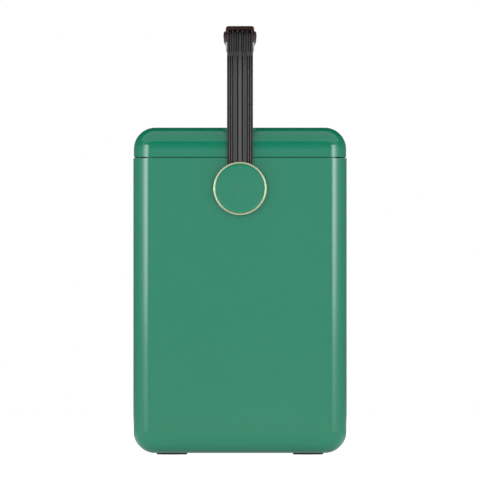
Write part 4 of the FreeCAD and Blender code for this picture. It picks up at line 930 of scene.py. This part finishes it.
# band near the horizon: bright at level, fading by about 25 degrees up
band = N.ramp(N.remap(dz, -0.2, 0.8, 0.0, 1.0), [
    (0.0, (0.93,) * 3), (0.20, (0.93,) * 3), (0.235, (0.86,) * 3), (0.30, (0.66,) * 3), (0.38, (0.44,) * 3),
    (0.50, (0.26,) * 3), (0.64, (0.11,) * 3), (0.73, (0.05,) * 3), (0.85, (0.02,) * 3), (1.0, (0.02,) * 3)])
bw = N.add("ShaderNodeRGBToBW")
N.link(band, bw.inputs[0])
az = N.ramp(N.remap(dy, -0.25, 1.0, 0.0, 1.0), [
    (0.0, (1.0,) * 3), (0.20, (0.86,) * 3), (0.31, (0.69,) * 3), (0.42, (0.60,) * 3), (0.55, (0.47,) * 3),
    (0.70, (0.32,) * 3), (1.0, (0.20,) * 3)])
bw_az = N.add("ShaderNodeRGBToBW")
N.link(az, bw_az.inputs[0])
band_v = N.math("MULTIPLY", bw.outputs[0], bw_az.outputs[0])
# ceiling softbox tilted a little to the front
yz = N.math("SQRT", N.math("ADD", N.math("MULTIPLY", dz, dz), N.math("MULTIPLY", dy, dy)))
lean = N.math("ARCTAN2", N.math("MULTIPLY", dy, -1.0), dz)           # 0 overhead, positive to the front
fore = N.remap(lean, math.radians(46.5), math.radians(49.5), 1.0, 0.0, True)
aft = N.remap(lean, math.radians(-23.5), math.radians(-20.5), 0.0, 1.0, True)
side = N.remap(N.math("DIVIDE", N.math("ABSOLUTE", dx), N.math("MAXIMUM", yz, 0.001)), 1.15, 2.3, 1.0, 0.0, True)
box_v = N.math("MULTIPLY", N.math("MULTIPLY", fore, aft), N.math("MULTIPLY", side, 1.14))
gl = N.math("ADD", band_v, box_v)
bg_c = N.add("ShaderNodeBackground")
bg_c.inputs["Color"].default_value = (1, 1, 1, 1)
bg_c.inputs["Strength"].default_value = 1.0
bg_g = N.add("ShaderNodeBackground")
bg_g.inputs["Color"].default_value = (1, 1, 1, 1)
N.link(gl, bg_g.inputs["Strength"])
bg_d = N.add("ShaderNodeBackground")
bg_d.inputs["Color"].default_value = (1, 1, 1, 1)
bg_d.inputs["Strength"].default_value = 0.52
mix1 = N.add("ShaderNodeMixShader")
N.link(lp.outputs["Is Glossy Ray"], mix1.inputs[0])
N.link(bg_d.outputs[0], mix1.inputs[1])
N.link(bg_g.outputs[0], mix1.inputs[2])
mix2 = N.add("ShaderNodeMixShader")
N.link(lp.outputs["Is Camera Ray"], mix2.inputs[0])
N.link(mix1.outputs[0], mix2.inputs[1])
N.link(bg_c.outputs[0], mix2.inputs[2])
N.link(mix2.outputs[0], wout.inputs[0])


def area(name, loc, target, size, power):
    d = bpy.data.lights.new(name, "AREA")
    d.shape = "RECTANGLE"
    d.size, d.size_y = size
    d.energy = power
    ob = bpy.data.objects.new(name, d)
    scene.collection.objects.link(ob)
    ob.location = loc
    ob.rotation_euler = (Vector(target) - Vector(loc)).to_track_quat("-Z", "Y").to_euler()
    ob.visible_glossy = False
    return ob


area("key_front", (0.0, -3.2, 0.55), (0, 0, 0.22), (3.0, 2.0), 62)
area("fill_right", (3.0, 0.6, 1.2), (0, 0, 0.2), (2.0, 2.0), 26)
area("fill_left", (-3.0, 0.6, 1.2), (0, 0, 0.2), (2.0, 2.0), 26)
area("fill_back", (0.0, 3.2, 1.4), (0, 0, 0.2), (2.4, 2.0), 26)
area("top", (0.0, 0.3, 3.0), (0, 0, 0.3), (2.0, 2.0), 10)

# two tall reflector cards whose light fades downwards, seen only in reflections
shell_lo, shell_hi = fbox("outer_shell")
CARD_TOP = 0.66
for sx in (-1, 1):
    arc = Vector((sx * (shell_hi.x - 0.024), shell_lo.y + 0.024, 0))
    steps = 24
    a0, a1 = 33.5, 92.0
    dist = 0.85
    bm = bmesh.new()
    uvl = bm.loops.layers.uv.new("uv")
    cols = []
    for i in range(steps + 1):
        u = i / steps
        a = math.radians(a0 + (a1 - a0) * u)
        p = arc + Vector((sx * math.sin(a) * dist, -math.cos(a) * dist, 0))
        cols.append((u, bm.verts.new((p.x, p.y, 0.004)), bm.verts.new((p.x, p.y, CARD_TOP))))
    for (u0, a, b), (u1, c, d) in zip(cols, cols[1:]):
        f = bm.faces.new((a, c, d, b))
        for lo_, (uu, vv) in zip(f.loops, ((u0, 0), (u1, 0), (u1, 1), (u0, 1))):
            lo_[uvl].uv = (uu, vv)
    me = bpy.data.meshes.new("reflector")
    bm.to_mesh(me)
    bm.free()
    card = bpy.data.objects.new("reflector_%s" % ("left" if sx < 0 else "right"), me)
    scene.collection.objects.link(card)
    m = bpy.data.materials.new(card.name)
    m.use_nodes = True
    N = Nodes(m.node_tree)
    out = N.add("ShaderNodeOutputMaterial")
    emi = N.add("ShaderNodeEmission")
    tc = N.add("ShaderNodeTexCoord")
    sp = N.add("ShaderNodeSeparateXYZ")
    N.link(tc.outputs["UV"], sp.inputs[0])
    stops = ((33.5, 0.0), (38.5, 0.52), (43.0, 1.0), (50.5, 0.95), (56.5, 0.74), (62.7, 0.36), (69.0, 0.165),
             (75.6, 0.07), (82.6, 0.035), (92.0, 0.0))
    across = N.ramp(sp.outputs["X"], [((a - a0) / (a1 - a0), (v,) * 3) for a, v in stops])
    stops = ((0.004, 0.05), (0.019, 0.115), (0.054, 0.175), (0.112, 0.26), (0.140, 0.40), (0.171, 0.62), (0.22, 0.80),
             (0.287, 1.0), (0.332, 1.0), (0.338, 1.18), (0.64, 1.18), (0.66, 0.0))
    down = N.ramp(sp.outputs["Y"], [((z - 0.004) / (CARD_TOP - 0.004), (v / 1.2,) * 3) for z, v in stops])
    bw1, bw2 = N.add("ShaderNodeRGBToBW"), N.add("ShaderNodeRGBToBW")
    N.link(across, bw1.inputs[0])
    N.link(down, bw2.inputs[0])
    N.link(N.math("MULTIPLY", N.math("MULTIPLY", bw1.outputs[0], bw2.outputs[0]), 8.9), emi.inputs["Strength"])
    clear = N.add("ShaderNodeBsdfTransparent")
    both = N.add("ShaderNodeAddShader")
    N.link(emi.outputs[0], both.inputs[0])
    N.link(clear.outputs[0], both.inputs[1])
    N.link(both.outputs[0], out.inputs[0])
    me.materials.append(m)
    card.visible_camera = False
    card.visible_diffuse = False
    card.visible_shadow = False
    card.visible_transmission = False
    card.visible_volume_scatter = False
    staged(card)
